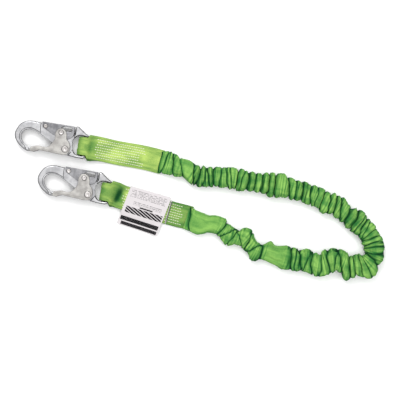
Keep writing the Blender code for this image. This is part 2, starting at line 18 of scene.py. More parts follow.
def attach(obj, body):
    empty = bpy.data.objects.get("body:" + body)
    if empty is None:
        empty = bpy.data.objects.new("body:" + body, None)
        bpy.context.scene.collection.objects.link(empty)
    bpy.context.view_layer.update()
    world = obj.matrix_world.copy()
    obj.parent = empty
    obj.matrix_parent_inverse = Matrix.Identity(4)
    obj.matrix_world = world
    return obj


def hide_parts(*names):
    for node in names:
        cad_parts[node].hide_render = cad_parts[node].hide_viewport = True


bl_info = {
    "name": "Shock Absorbing Lanyard",
    "version": (1, 0, 0),
    "blender": (4, 5, 0),
    "location": "3D View > Sidebar > Lanyard",
    "description": "Builds a stretchable shock absorbing lanyard with two snap hooks",
    "category": "Object",
}

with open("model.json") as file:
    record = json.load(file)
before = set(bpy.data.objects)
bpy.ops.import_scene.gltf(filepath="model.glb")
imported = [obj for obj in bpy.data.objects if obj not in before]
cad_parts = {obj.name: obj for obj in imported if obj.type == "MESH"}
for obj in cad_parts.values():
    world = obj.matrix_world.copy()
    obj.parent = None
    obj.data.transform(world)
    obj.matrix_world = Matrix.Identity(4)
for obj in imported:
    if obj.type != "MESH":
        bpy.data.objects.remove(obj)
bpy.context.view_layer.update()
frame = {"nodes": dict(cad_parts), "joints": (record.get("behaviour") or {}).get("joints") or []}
JOINTS = {joint["name"]: joint for joint in frame["joints"]}

MM = 0.001
ENDS = ("a", "b")

# The lanyard's lie, from the eye bar of hook A to the eye bar of hook B
LIE = [
    (-0.219, 0.099), (-0.195, 0.095), (-0.16, 0.088), (-0.118, 0.08), (-0.077, 0.07), (-0.056, 0.064),
    (-0.033, 0.056), (-0.008, 0.044), (0.025, 0.042), (0.068, 0.038), (0.111, 0.03), (0.154, 0.023),
    (0.193, 0.012), (0.231, -0.004), (0.262, -0.023), (0.289, -0.046), (0.309, -0.07), (0.314, -0.095),
    (0.3, -0.117), (0.272, -0.121), (0.244, -0.114), (0.217, -0.119), (0.19, -0.114), (0.162, -0.109),
    (0.136, -0.103), (0.111, -0.097), (0.091, -0.087), (0.076, -0.074), (0.058, -0.067), (0.041, -0.058),
    (0.021, -0.047), (0.0, -0.043), (-0.024, -0.034), (-0.07, -0.021), (-0.116, -0.006), (-0.148, 0.005),
    (-0.162, 0.0115), (-0.177, 0.0145),
]

# Sizes that the solids share
STRAP_LENGTH = {"a": 146 * MM, "b": 161 * MM}
SEWN_FROM_BAR = {"a": 19 * MM, "b": 29 * MM}
SEWN_TO = {"a": 112 * MM, "b": 149 * MM}
LOOP_SLACK = 11.5 * MM
# Place, depth and reach of the hollow in each strap, and how dark the shade painted in it is
STRAP_DIP = {"a": (11 * MM, 1.6 * MM, 5 * MM), "b": (21 * MM, 5 * MM, 8 * MM)}
STRAP_SHADE = {"a": 0.35, "b": 1.0}
# How dark the painted shade is on each strap's far part, towards the shell
STRAP_FAR_SHADE = {"a": 0.1, "b": 0.5}
PLY_GAP = 0.3 * MM
ROW_PITCH = 4.7 * MM
LABEL_LENGTH, LABEL_WIDTH = 75 * MM, 79 * MM
LABEL_OVERHANG = 5 * MM
LABEL_FOLD = 0.6 * MM
LABEL_TAB = 2.4 * MM
GATE_PIVOT = Vector((-34.4, -10.9)) * MM
LEVER_PIVOT = Vector((-76.6, 25.6)) * MM
LOCK_PIN = Vector((-46.0, 18.0)) * MM
PLATE = 2.0 * MM
WEB_HALF, BOW_HALF = 3.5 * MM, 6.0 * MM
LEVER_INNER = 4.1 * MM
LEVER_OUTER = LEVER_INNER + PLATE
GATE_INNER = 6.7 * MM
GATE_OUTER = GATE_INNER + PLATE
HOOK_MIDDLE = JOINTS["hook_swing_a"]["pos_m"][2]
BAR_RADIUS = 3.8 * MM
CORE_ROOM = 12.4 * MM


# Settings


class LanyardSizes(bpy.types.PropertyGroup):
    web_width: bpy.props.FloatProperty(
        name="Webbing width", description="Width of the end straps", default=0.0445, unit="LENGTH"
    )
    web_thickness: bpy.props.FloatProperty(
        name="Webbing thickness", description="Thickness of one ply", default=0.0024, unit="LENGTH"
    )
    loop_width: bpy.props.FloatProperty(
        name="Loop width", description="Width of the strap round the eye bar", default=0.0335, unit="LENGTH"
    )
    stitch_pitch: bpy.props.FloatProperty(
        name="Stitch pitch", description="Distance from stitch to stitch", default=0.0042, unit="LENGTH"
    )
    thread: bpy.props.FloatProperty(
        name="Thread", description="Radius of the sewing thread", default=0.00068, unit="LENGTH"
    )
    stitch_rows: bpy.props.IntProperty(name="Stitch rows", description="Rows in a pack", default=8)


class LanyardColours(bpy.types.PropertyGroup):
    webbing: bpy.props.FloatVectorProperty(
        name="Webbing", description="Webbing on its ridges", subtype="COLOR", size=3, default=(0.235, 0.46, 0.1)
    )
    # The webbing's darker random tone, also used as painted shade in its folds and hollows
    dark_tone_and_shade: bpy.props.FloatVectorProperty(
        name="Creases", description="Webbing in its folds", subtype="COLOR", size=3, default=(0.001, 0.125, 0.025)
    )
    thread: bpy.props.FloatVectorProperty(
        name="Thread", description="Pack stitching", subtype="COLOR", size=3, default=(0.8, 0.82, 0.62)
    )
    label: bpy.props.FloatVectorProperty(
        name="Label", description="Label sheet", subtype="COLOR", size=3, default=(0.56, 0.53, 0.54)
    )
    plating: bpy.props.FloatVectorProperty(
        name="Plating", description="Plated steel", subtype="COLOR", size=3, default=(0.5, 0.5, 0.51)
    )


def sizes():
    return bpy.context.scene.lanyard_sizes


def colours():
    return bpy.context.scene.lanyard_colours


# Shader helpers


class Tree:
    """A short way to add and link shader nodes."""

    def __init__(self, tree):
        self.tree = tree

    def node(self, kind, values=None, **settings):
        made = self.tree.nodes.new(kind)
        for key, value in settings.items():
            setattr(made, key, value)
        for key, value in (values or {}).items():
            socket = made.inputs[key]
            if isinstance(value, bpy.types.NodeSocket):
                self.link(value, socket)
            else:
                socket.default_value = value
        return made

    def link(self, source, target):
        self.tree.links.new(source, target)

    def math(self, operation, first, second=0.0, clamp=False):
        values = {0: first, 1: second}
        return self.node("ShaderNodeMath", values, operation=operation, use_clamp=clamp).outputs[0]

    def times(self, first, second, **settings):
        return self.math("MULTIPLY", first, second, **settings)

    def plus(self, first, second):
        return self.math("ADD", first, second)

    def minus(self, first, second, **settings):
        return self.math("SUBTRACT", first, second, **settings)

    def mix(self, share, first, second):
        return self.node("ShaderNodeMix", {0: share, 6: first, 7: second}, data_type="RGBA").outputs[2]

    def range(self, value, low, high, to_low=0.0, to_high=1.0):
        values = {0: value, 1: low, 2: high, 3: to_low, 4: to_high}
        return self.node("ShaderNodeMapRange", values, interpolation_type="SMOOTHSTEP").outputs[0]

    def noise(self, vector, scale, detail=3.0, roughness=0.5):
        values = {"Vector": vector, "Scale": scale, "Detail": detail, "Roughness": roughness}
        return self.node("ShaderNodeTexNoise", values).outputs[0]

    def stretch(self, vector, scale):
        return self.node("ShaderNodeMapping", {"Vector": vector, "Scale": scale}).outputs[0]


def shader_group(name, colours_in, values_in):
    """A new shader node group, with its Tree, its input sockets by name and its output node.

    It takes a vector, colours and values, and gives a colour, a roughness and a height.
    """
    group = bpy.data.node_groups.new(name, "ShaderNodeTree")
    face = group.interface
    face.new_socket("Vector", in_out="INPUT", socket_type="NodeSocketVector")
    for label in colours_in:
        face.new_socket(label, in_out="INPUT", socket_type="NodeSocketColor")
    for label, default in values_in:
        face.new_socket(label, in_out="INPUT", socket_type="NodeSocketFloat").default_value = default
    for label, kind in (("Color", "Color"), ("Roughness", "Float"), ("Height", "Float")):
        face.new_socket(label, in_out="OUTPUT", socket_type=f"NodeSocket{kind}")
    tree = Tree(group)
    given = tree.node("NodeGroupInput").outputs
    result = tree.node("NodeGroupOutput").inputs
    return group, tree, {s.name: s for s in given if s.name}, result


@functools.cache
def weave_group():
    """Woven webbing, in millimetres of its own UV map: ribs along it, picks across, uneven dye with lengthwise
    streaks that are partly yarn and partly painted sheen, and painted shade in the folds.
    """
    values = (("Rib", 1.5), ("Pick", 1.1), ("Painted light", 1.0))
    group, t, given, result = shader_group("woven webbing", ("Light", "Dark"), values)
    split = t.node("ShaderNodeSeparateXYZ", {0: given["Vector"]}).outputs
    across = t.math("SINE", t.math("DIVIDE", t.times(split[1], math.tau), given["Rib"]))
    along = t.math("SINE", t.math("DIVIDE", t.times(split[0], math.tau), given["Pick"]))
    cross = t.times(across, along)
    fine = t.noise(t.stretch(given["Vector"], (0.5, 4.0, 1.0)), 1.0, 4.0)
    broad = t.noise(t.stretch(given["Vector"], (0.02, 0.11, 1.0)), 1.0, 4.0, 0.6)
    height = t.plus(t.times(cross, 0.6), t.times(across, 0.4))
    height = t.plus(height, t.times(fine, 0.8))
    # Uneven dye from the broad noise; the fine lengthwise streaks are partly yarn and partly painted sheen.
    lit = t.range(t.plus(t.times(broad, 0.7), t.times(fine, 0.3)), 0.34, 0.64)
    # Painted shade: where the painted light is low, in folds and hollows, the dark colour takes over.
    share = t.times(t.plus(t.times(lit, 0.65), 0.35), given["Painted light"], clamp=True)
    share = t.minus(share, t.times(t.range(cross, 0.2, -0.9), 0.12), clamp=True)
    dyed_and_shaded = t.mix(share, given["Dark"], given["Light"])
    # Painted shade: the deepest folds turn near black.
    deep = t.range(given["Painted light"], 0.0, 0.5, 0.12, 1.0)
    t.link(t.mix(deep, (0.0, 0.014, 0.005, 1), dyed_and_shaded), result["Color"])
    t.link(t.minus(0.86, t.times(fine, 0.3)), result["Roughness"])
    t.link(height, result["Height"])
    return group


@functools.cache
def plating_group():
    """Zinc plated steel: cloudy plating, fine scratches and a forging's skin."""
    values = (("Grain", 900.0), ("Polish", 0.3))
    group, t, given, result = shader_group("worn plating", ("Plating", "Stain"), values)
    cloud = t.range(t.noise(given["Vector"], 90.0, 5.0, 0.6), 0.32, 0.7)
    scratch = t.noise(t.stretch(given["Vector"], (160.0, 2600.0, 700.0)), 1.0, 2.0)
    grain = t.noise(given["Vector"], given["Grain"], 3.0)
    worn = t.times(cloud, t.range(scratch, 0.25, 0.6, 0.7, 1.0))
    t.link(t.mix(worn, given["Stain"], given["Plating"]), result["Color"])
    rough = t.plus(given["Polish"], t.times(t.minus(1.0, worn), 0.22))
    t.link(rough, result["Roughness"])
    both = t.plus(t.times(grain, 0.7), t.times(scratch, 0.3))
    t.link(both, result["Height"])
    return group


def new_material(name):
    made = bpy.data.materials.new(name)
    made.use_nodes = True
    tree = Tree(made.node_tree)
    return made, tree, made.node_tree.nodes["Principled BSDF"]


def bumped(tree, shader, height, strength, distance):
    bump = tree.node("ShaderNodeBump", {"Strength": strength, "Distance": distance, "Height": height})
    tree.link(bump.outputs[0], shader.inputs["Normal"])


def finish_from(tree, shader, group, values):
    """Place a shared group, feed the shader from it and return its height."""
    made = tree.node("ShaderNodeGroup", values, node_tree=group)
    tree.link(made.outputs["Color"], shader.inputs["Base Color"])
    tree.link(made.outputs["Roughness"], shader.inputs["Roughness"])
    return made.outputs["Height"]


def webbing_material(name, light, dark, rib=1.5, pick=1.1):
    """Webbing on its own UV map, in millimetres. The attribute that it reads holds painted light and shade:
    painted shade in folds and hollows, full light on the ridges.
    """
    made, t, shader = new_material(name)
    where = t.node("ShaderNodeUVMap", uv_map="cloth").outputs[0]
    fold = t.node("ShaderNodeAttribute", attribute_name="painted_light").outputs["Fac"]
    values = {"Vector": where, "Rib": rib, "Pick": pick, "Light": (*light, 1), "Dark": (*dark, 1), "Painted light": fold}
    height = finish_from(t, shader, weave_group(), values)
    bumped(t, shader, height, 0.55, 0.00022)
    shader.inputs["Specular IOR Level"].default_value = 0.08
    return made


def cloth_material(name, light, dark, scale):
    """Plain cloth on object coordinates, for what lies inside."""
    made, t, shader = new_material(name)
    where = t.node("ShaderNodeTexCoord").outputs["Object"]
    place = t.stretch(where, (scale, scale, scale))
    values = {"Vector": place, "Light": (*light, 1), "Dark": (*dark, 1)}
    height = finish_from(t, shader, weave_group(), values)
    bumped(t, shader, height, 0.4, 0.0002)
    return made


def steel_material(name, plating, stain, polish):
    made, t, shader = new_material(name)
    where = t.node("ShaderNodeTexCoord").outputs["Object"]
    values = {"Vector": where, "Plating": (*plating, 1), "Stain": (*stain, 1), "Polish": polish}
    height = finish_from(t, shader, plating_group(), values)
    bumped(t, shader, height, 0.5, 0.00018)
    # Painted shade: the plating's colour turns dark where its surface turns away from the view.
    away = t.range(t.node("ShaderNodeLayerWeight", {"Blend": 0.5}).outputs["Facing"], 0.03, 0.26, 0.0, 0.93)
    flat = shader.inputs["Base Color"].links[0].from_socket
    t.link(t.mix(away, flat, (0.045, 0.045, 0.05, 1)), shader.inputs["Base Color"])
    shader.inputs["Metallic"].default_value = 0.92
    return made


def thread_material(name, colour):
    made, t, shader = new_material(name)
    where = t.node("ShaderNodeTexCoord").outputs["Object"]
    twist = t.noise(t.stretch(where, (3000.0, 3000.0, 3000.0)), 1.0, 2.0)
    dark = tuple(0.6 * part for part in colour)
    shade = t.mix(t.range(twist, 0.35, 0.62), (*dark, 1), (*colour, 1))
    t.link(shade, shader.inputs["Base Color"])
    shader.inputs["Roughness"].default_value = 0.7
    bumped(t, shader, twist, 0.5, 0.0002)
    return made


@functools.cache
def material(name):
    """Each finish, built the first time that a piece asks for it."""
    c = colours()
    webbing, dark_tone_and_shade, plating = tuple(c.webbing), tuple(c.dark_tone_and_shade), tuple(c.plating)
    # The straps take a lighter, yellower copy of the webbing colour.
    lighter_webbing = (1.8 * webbing[0], 1.24 * webbing[1], 1.35 * webbing[2])
    makers = {
        "strap": lambda: webbing_material("strap webbing", lighter_webbing, dark_tone_and_shade),
        "shell": lambda: webbing_material("shell webbing", webbing, dark_tone_and_shade, 1.7, 1.3),
        "core": lambda: cloth_material("core webbing", (0.7, 0.68, 0.58), (0.4, 0.38, 0.3), 1000.0),
        "elastic": lambda: cloth_material("elastic tape", (0.85, 0.85, 0.83), (0.5, 0.5, 0.5), 1400.0),
        "liner": lambda: cloth_material("wear liner", (0.2, 0.5, 0.06), (0.05, 0.25, 0.03), 1100.0),
        "forged": lambda: steel_material("forged plated steel", plating, (0.3, 0.3, 0.31), 0.24),
        "plate": lambda: steel_material("stamped plated steel", (0.41, 0.4, 0.38), (0.27, 0.26, 0.25), 0.33),
        "lever": lambda: steel_material("lever plated steel", (0.29, 0.29, 0.3), (0.15, 0.15, 0.16), 0.3),
        "rivet": lambda: steel_material("rivet steel", (0.5, 0.48, 0.47), (0.34, 0.32, 0.31), 0.3),
        "spring": lambda: steel_material("spring steel", (0.3, 0.3, 0.32), (0.12, 0.12, 0.13), 0.35),
        "thread": lambda: thread_material("pale thread", tuple(c.thread)),
        "black": lambda: thread_material("black thread", (0.012, 0.012, 0.014)),
        "label": lambda: label_material(tuple(c.label)),
    }
    return makers[name]()


# Mesh helpers


def show(name, mesh, finish, body, nodes=()):
    """A finished piece: its material, the body that it rides on and the solids that it stands for."""
    made = linked(mesh, name)
    if finish:
        mesh.materials.clear()
        mesh.materials.append(material(finish))
    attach(made, body)
    if nodes:
        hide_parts(*nodes)
    return made


def evaluated_mesh(carrier):
    """A plain mesh of an object as its modifiers leave it. The object is removed."""
    bpy.context.view_layer.update()
    seen = carrier.evaluated_get(bpy.context.evaluated_depsgraph_get())
    mesh = bpy.data.meshes.new_from_object(seen)
    bpy.data.objects.remove(carrier)
    return mesh


def linked(data, name="carrier", place=(0, 0, 0)):
    """A new object in the scene."""
    made = bpy.data.objects.new(name, data)
    made.location = place
    bpy.context.scene.collection.objects.link(made)
    return made


def tidy(mesh, weld=0.004 * MM):
    shape = bmesh.new()
    shape.from_mesh(mesh)
    bmesh.ops.remove_doubles(shape, verts=shape.verts, dist=weld)
    bmesh.ops.recalc_face_normals(shape, faces=shape.faces)
    shape.to_mesh(mesh)
    shape.free()
    return mesh


def grid_mesh(name, points, uv, closed_rows, cap_ends):
    """A skin over points[i][j]. Each ring j closes on itself if closed_rows. uv is in millimetres."""
    rows, count = points.shape[:2]
    index = np.arange(rows * count).reshape(rows, count)
    nxt = np.roll(index, -1, axis=1) if closed_rows else index[:, 1:]
    here = index if closed_rows else index[:, :-1]
    quads = np.stack([here[:-1], nxt[:-1], nxt[1:], here[1:]], axis=-1).reshape(-1, 4)
    faces = quads.tolist()
    if cap_ends:
        faces += [index[0][::-1].tolist(), index[-1].tolist()]
    mesh = bpy.data.meshes.new(name)
    mesh.from_pydata(points.reshape(-1, 3).tolist(), [], faces)
    layer = mesh.uv_layers.new(name="cloth")
    corner = np.empty(len(mesh.loops), dtype=int)
    mesh.loops.foreach_get("vertex_index", corner)
    flat = uv.reshape(-1, 2)[corner]
    if closed_rows:
        # The last face of each ring runs on past the seam instead of back across the whole cloth.
        width = 2 * uv[:, -1, 1].max() - uv[:, -2, 1].max()
        seam = np.zeros(len(corner), dtype=bool)
        closing = np.arange(len(quads)).reshape(rows - 1, count)[:, -1]
        for k in (0, 1, 2, 3):
            seam[closing * 4 + k] = corner[closing * 4 + k] % count == 0
        flat[seam, 1] += width
    layer.data.foreach_set("uv", flat.reshape(-1))
    mesh.validate()
    mesh.shade_smooth()
    return mesh


def smoothstep(share):
    share = np.clip(share, 0, 1)
    return share * share * (3 - 2 * share)


# The lanyard's lie


class Lie:
    """A smooth curve through the points of the lanyard's lie, read by the distance along it."""

    PER_SPAN = 12
    REACH = 5 * MM

    def __init__(self, points, start):
        knots = np.array(points) - points[0] + start
        knots = np.vstack([2 * knots[0] - knots[1], knots, 2 * knots[-1] - knots[-2]])
        line = []
        for a, b, c, d in zip(knots, knots[1:], knots[2:], knots[3:]):
            for i in range(self.PER_SPAN):
                t = i / self.PER_SPAN
                line.append((2 * b + (c - a) * t + (2 * a - 5 * b + 4 * c - d) * t**2
                             + (3 * b - a - 3 * c + d) * t**3) / 2)
        line.append(knots[-2])
        line = np.array(line)
        step = np.linalg.norm(np.diff(line, axis=0), axis=1)
        self.length = step.sum()
        # Straight runs past both ends, so that the strap's loop can lie beyond the eye bar.
        far = 30 * MM
        before = line[0] - far * (line[1] - line[0]) / step[0]
        after = line[-1] + far * (line[-1] - line[-2]) / step[-1]
        self.line = np.vstack([before, line, after])
        self.along = np.concatenate([[-far, 0], np.cumsum(step), [self.length + far]])

    def point(self, u):
        return np.stack([np.interp(u, self.along, self.line[:, k]) for k in (0, 1)], axis=-1)

    def across(self, u):
        ahead = self.point(u + self.REACH) - self.point(u - self.REACH)
        ahead /= np.linalg.norm(ahead, axis=-1, keepdims=True)
        return np.stack([-ahead[..., 1], ahead[..., 0]], axis=-1)

    def place(self, u, v, z):
        """World points of arrays of u, v and z."""
        u, v, z = np.broadcast_arrays(np.asarray(u, float), v, z)
        flat = self.point(u) + v[..., None] * self.across(u)
        return np.concatenate([flat, z[..., None]], axis=-1)

    def from_end(self, end, u):
        return u if end == "a" else self.length - u


LANYARD = Lie(LIE, JOINTS["hook_swing_a"]["pos_m"][:2])


def hook_matrix(end):
    joint = JOINTS[f"hook_swing_{end}"]
    y, z = Vector(joint["axis"]).normalized(), Vector((0, 0, 1))
    matrix = Matrix((y.cross(z), y, z)).transposed().to_4x4()
    matrix.translation = joint["pos_m"]
    return matrix


# Snap hooks


def mm(*points):
    return [(p[0] * MM, p[1] * MM, *p[2:]) for p in points]


def arc(centre, radius, start, stop, count):
    angles = np.radians(np.linspace(start, stop, count))
    return [(centre[0] + radius * math.cos(a), centre[1] + radius * math.sin(a)) for a in angles]


def plate(outlines, half, edge=0.0, resolution=12, round_steps=3, grow=0.0):
    """A flat plate of an outline and its holes, this far to each side of the plane z = 0.

    (x, y) is a corner, and (x, y, 1) is on a smooth stretch. edge is the radius of its edges.
    """
    curve = bpy.data.curves.new("plate", "CURVE")
    curve.dimensions, curve.fill_mode = "2D", "BOTH"
    curve.resolution_u = resolution
    curve.extrude, curve.bevel_depth = half - edge, edge
    curve.bevel_resolution = round_steps
    curve.offset = grow - edge
    for points in outlines:
        spline = curve.splines.new("BEZIER")
        spline.use_cyclic_u = True
        spline.bezier_points.add(len(points) - 1)
        for knot, p in zip(spline.bezier_points, points):
            knot.co = (p[0], p[1], 0)
            knot.handle_left_type = knot.handle_right_type = "AUTO" if len(p) == 3 else "VECTOR"
    return tidy(evaluated_mesh(linked(curve)))


def ring(centre, radius):
    return [(*p, 1) for p in arc(centre, radius, 0, 315, 8)]


def cut(mesh, cutters, solver="EXACT"):
    """The mesh with the cutters taken away. Each cutter is (mesh, height)."""
    piece = linked(mesh)
    tools = []
    for number, (shape, height) in enumerate(cutters):
        tool = linked(shape, "tool", (0, 0, height))
        change = piece.modifiers.new(f"cut {number}", "BOOLEAN")
        change.operation, change.object, change.solver = "DIFFERENCE", tool, solver
        tools.append(tool)
    result = evaluated_mesh(piece)
    for tool in tools:
        bpy.data.objects.remove(tool)
    return result


def forged(mesh, voxel, rounds):
    """The mesh as a forging leaves it, with every edge and corner eased."""
    piece = linked(mesh)
    skin = piece.modifiers.new("skin", "REMESH")
    skin.mode, skin.voxel_size = "VOXEL", voxel
    ease = piece.modifiers.new("ease", "SMOOTH")
    ease.factor, ease.iterations = 0.5, rounds
    return evaluated_mesh(piece)


def joined(first, second):
    """Both meshes in one."""
    shape = bmesh.new()
    shape.from_mesh(first)
    shape.from_mesh(second)
    shape.to_mesh(first)
    shape.free()
    return first


def bar_mesh(radius, length):
    """A round bar along Y."""
    shape = bmesh.new()
    bmesh.ops.create_cone(shape, cap_ends=True, segments=48, radius1=radius, radius2=radius, depth=length,
                          matrix=Matrix.Rotation(math.pi / 2, 4, "X"))
    mesh = bpy.data.meshes.new("eye bar")
    shape.to_mesh(mesh)
    shape.free()
    return mesh


THROAT = mm(
    (-62, -2.2), (-77.5, 6.1, 1), (-92, 12.6, 1), (-104, 15.4, 1), (-113.5, 12.4, 1), (-118.6, 5.4, 1),
    (-118.6, -1.6, 1), (-115.4, -7.6, 1), (-110, -12.6, 1), (-103.5, -16.2, 1), (-95, -17.4),
)


ARM_WIDTH, ARM_PAST_BAR, LOOP_ROOM = 5.6 * MM, 1.2 * MM, 1 * MM
FORGED_EDGE, FORGED_GRAIN, FINISHED_GRAIN = 2.4 * MM, 0.5 * MM, 0.55 * MM
LIP_WIDTH, LIP_HALF = 2.6 * MM, 4.5 * MM
GROOVES_AT, GROOVE_WIDTH, GROOVE_DEPTH = (-108.8, -101.2), 2.3, 1.3 * MM
PLATE_EDGE = 0.45 * MM
GATE_HOLE, LEVER_HOLE, PIN_HOLE = 4.3 * MM, 2.7 * MM, 2.8 * MM


def hook_body_mesh():
    """The forged body: bow, nose, spine and the eye with its round bar."""
    side = sizes().loop_width / 2 + LOOP_ROOM
    outer, arm_end = side + ARM_WIDTH, BAR_RADIUS + ARM_PAST_BAR
    outline = (
        mm((-95, -24.2), (-105, -24.4, 1), (-114.5, -19.5, 1), (-124.6, -11, 1), (-130.6, 1, 1),
           (-127.5, 15, 1), (-119, 26, 1), (-106, 31, 1), (-90, 30.8, 1))
        + [(*p, 1) for p in arc(LEVER_PIVOT, 5 * MM, 100, -40, 6)]
        + mm((-66, 17), (-56, 12.6, 1), (-33, 11.4, 1), (-25, 14.4, 1), (-20.4, 18), (-20.4, 33.6), (-15.8, 34))
        + [(-1 * MM, outer), (arm_end, outer - 3 * MM), (arm_end, side), (-13 * MM, side, 1)]
        + mm((-18, 14.6, 1), (-22.6, 9, 1), (-23.4, 1, 1), (-21.4, -8, 1), (-17, -15, 1))
        + [(-12 * MM, -side, 1), (arm_end, -side), (arm_end, -outer + 3 * MM), (-1 * MM, -outer)]
        + mm((-14, -23.2, 1), (-29, -21.6, 1), (-38.6, -20.6), (-42, -15.6), (-50, -8.5))
        + THROAT
    )
    body = plate([outline], BOW_HALF, FORGED_EDGE, resolution=10, round_steps=3)
    pocket = mm((-85.6, 45), (-85.6, 21, 1), (-82, 2, 1), (-82, -40), (-40, -40), (-21, -12), (-21, 45))
    lip = THROAT + mm((-92, -10), (-66, -9))
    body = forged(joined(body, bar_mesh(BAR_RADIUS, 2 * side + ARM_WIDTH)), FORGED_GRAIN, 2)
    half = BOW_HALF / 2
    cutters = []
    for sign in (1, -1):
        cutters.append((plate([pocket], half), sign * (WEB_HALF + half)))
        cutters.append((plate([lip], half, grow=LIP_WIDTH), sign * (LIP_HALF + half)))
    for x in GROOVES_AT:
        far = x + GROOVE_WIDTH
        groove = plate([mm((x, -28), (far, -28), (far, -9), (x, -9))], 1 * MM)
        height = BOW_HALF + 1 * MM - GROOVE_DEPTH
        cutters += [(groove, height), (groove, -height)]
    for hole in (ring(GATE_PIVOT, GATE_HOLE), ring(LEVER_PIVOT, LEVER_HOLE)):
        cutters.append((plate([hole], 2 * BOW_HALF), 0))
    return forged(cut(body, cutters, solver="MANIFOLD"), FINISHED_GRAIN, 3)


def channel_mesh(outlines, inside, inner, outer):
    """A stamped channel with eased edges."""
    shape = plate(outlines, outer, PLATE_EDGE, resolution=10, round_steps=2)
    return cut(shape, [(plate([inside], inner), 0)])


def gate_mesh():
    outline = mm(
        (-99.3, -23.6), (-96.6, -15.9), (-82.9, -12.4, 1), (-74.2, -13, 1), (-66, -11, 1), (-60.4, -5.1, 1),
        (-56, 4.4, 1), (-56, 16.8, 1), (-51, 24.6, 1), (-41, 24.4, 1), (-36, 17.4, 1), (-34, 7.6, 1),
        (-28.6, 1.5, 1), (-26, -10, 1), (-29.6, -19.5, 1), (-40, -22.2), (-64, -21), (-81.6, -19.8),
        (-92, -25),
    )
    wall = PLATE / MM
    inside = mm(
        (-110, -50), (-93, -50), (-93, -23.4), (-81.6, -19.8 + wall), (-64, -21 + wall), (-46.5, -21.8 + wall),
        (-46.5, -50), (-10, -50), (-10, 50), (-110, 50),
    )
    holes = [ring(GATE_PIVOT, GATE_HOLE), ring(LOCK_PIN, PIN_HOLE)]
    return channel_mesh([outline, *holes], inside, GATE_INNER, GATE_OUTER)


def lever_mesh():
    outline = mm(
        (-83.6, 33), (-22.8, 33), (-24.4, 14, 1), (-31.5, 8.6, 1), (-46, 8.4, 1), (-60, 11.7), (-82, 23.5)
    )
    run = Vector((12.0, 8.9)).normalized()
    reach = 3.1 * MM
    low = LOCK_PIN + reach * Vector((run.y, -run.x))
    back = LOCK_PIN - reach * run
    high = LOCK_PIN - reach * Vector((run.y, -run.x))
    window_low, window_high = 22 * MM, 30.6 * MM
    low_end = low + run * (window_low - low.y) / run.y
    slot = [
        (low.x, low.y), (low.x - 2.2 * MM, low.y - 0.6 * MM, 1), (back.x, back.y, 1),
        (high.x - 1.2 * MM, high.y - 1.6 * MM, 1), (high.x, high.y), (high.x + 0.6 * MM, 27 * MM, 1),
        (high.x + 5 * MM, window_high), (-28.6 * MM, window_high), (-26.8 * MM, 27.5 * MM, 1),
        (-27.4 * MM, window_low), (low_end.x, window_low),
    ]
    roof = 33 * MM - PLATE
    inside = mm((-100, 50), (-100, -20), (-10, -20), (-10, 50), (-27, 50)) + [
        (-27 * MM, roof), (-79 * MM, roof), (-79 * MM, 50 * MM)
    ]
    return channel_mesh([outline, slot, ring(LEVER_PIVOT, LEVER_HOLE)], inside, LEVER_INNER, LEVER_OUTER)


def rivet_mesh(centre, shaft, head, inner, top):
    """A turned rivet with a low dome, a rolled rim and a dimple on both ends."""
    rise = top - inner
    upper = [(0, inner + 0.62 * rise), (0.3 * head, inner + 0.66 * rise), (0.42 * head, top)]
    upper += [(0.62 * head, top), (0.8 * head, top - 0.12 * rise), (0.94 * head, top - 0.4 * rise)]
    upper += [(head, inner + 0.25 * rise), (head, inner), (shaft, inner)]
    profile = upper + [(r, -z) for r, z in reversed(upper)]
    mesh = bpy.data.meshes.new("rivet")
    mesh.from_pydata([(r, 0, z) for r, z in profile], [(i, i + 1) for i in range(len(profile) - 1)], [])
    turned = linked(mesh)
    lathe = turned.modifiers.new("lathe", "SCREW")
    lathe.steps = lathe.render_steps = 48
    lathe.use_merge_vertices, lathe.merge_threshold = True, 0.01 * MM
    result = tidy(evaluated_mesh(turned))
    result.transform(Matrix.Translation((centre.x, centre.y, 0)))
    return result


def show_metal(name, mesh, finish, body, node, end, angle):
    mesh.transform(hook_matrix(end))
    mesh.update()
    mesh.shade_smooth()
    mesh.set_sharp_from_angle(angle=math.radians(angle))
    return show(name, mesh, finish, body, [node])


def on_both_hooks(name, mesh, finish, body, node, angle=32):
    """The same metal piece on both hooks."""
    for end in ENDS:
        show_metal(f"{name}_{end}", mesh.copy(), finish, f"{body}_{end}", f"{node}_{end}", end, angle)


# Straps

STRAP_SIDES = 72
LOOP_CLEARANCE = 2 * PLY_GAP + 1.7 * MM
LIE_DOWN_FROM, LIE_DOWN_REACH = 12 * MM, 42 * MM
STRAP_SPREAD_FROM, STRAP_SPREAD_REACH = 3.6 * MM, 4.6 * MM
PUCKER = 0.32 * MM
# How far the lower ply shows aside, and its painted light, which is low for the shade under the upper ply
LOWER_PLY_ASIDE, LOWER_PLY_LIGHT = 3.6 * MM, 0.35


def strap_levels(u):
    """Height of the doubled strap's middle, and how far each ply's middle lies from it."""
    s = sizes()
    rest = s.web_thickness + PLY_GAP / 2
    open_half = BAR_RADIUS + LOOP_CLEARANCE + s.web_thickness / 2
    closed_half = (s.web_thickness + PLY_GAP) / 2
    middle = HOOK_MIDDLE + (rest - HOOK_MIDDLE) * smoothstep((u - LIE_DOWN_FROM) / LIE_DOWN_REACH)
    half = open_half + (closed_half - open_half) * smoothstep(u / SEWN_FROM_BAR["a"])
    return middle, half


def strap_dip(end, u, v):
    """The hollow across the strap between the loop and the first stitches."""
    place, depth, reach = STRAP_DIP[end]
    return depth * np.exp(-(((u - place) / reach) ** 2)) * np.exp(-((v / (18 * MM)) ** 4))


def strap_path(end):
    """(u, z) rows of the strap's middle line: lower ply, round the bar, upper ply."""
    run = np.arange(STRAP_LENGTH[end], 0, -1.0 * MM)
    middle, half = strap_levels(run)
    lower = np.stack([run, middle - half], axis=1)
    _, radius = strap_levels(0.0)
    turn = np.linspace(0, math.pi, 24)
    loop = np.stack([-LOOP_SLACK * np.sin(turn), HOOK_MIDDLE - radius * np.cos(turn)], axis=1)
    upper = np.stack([run[::-1], (middle + half)[::-1]], axis=1)
    return np.vstack([lower, loop, upper])


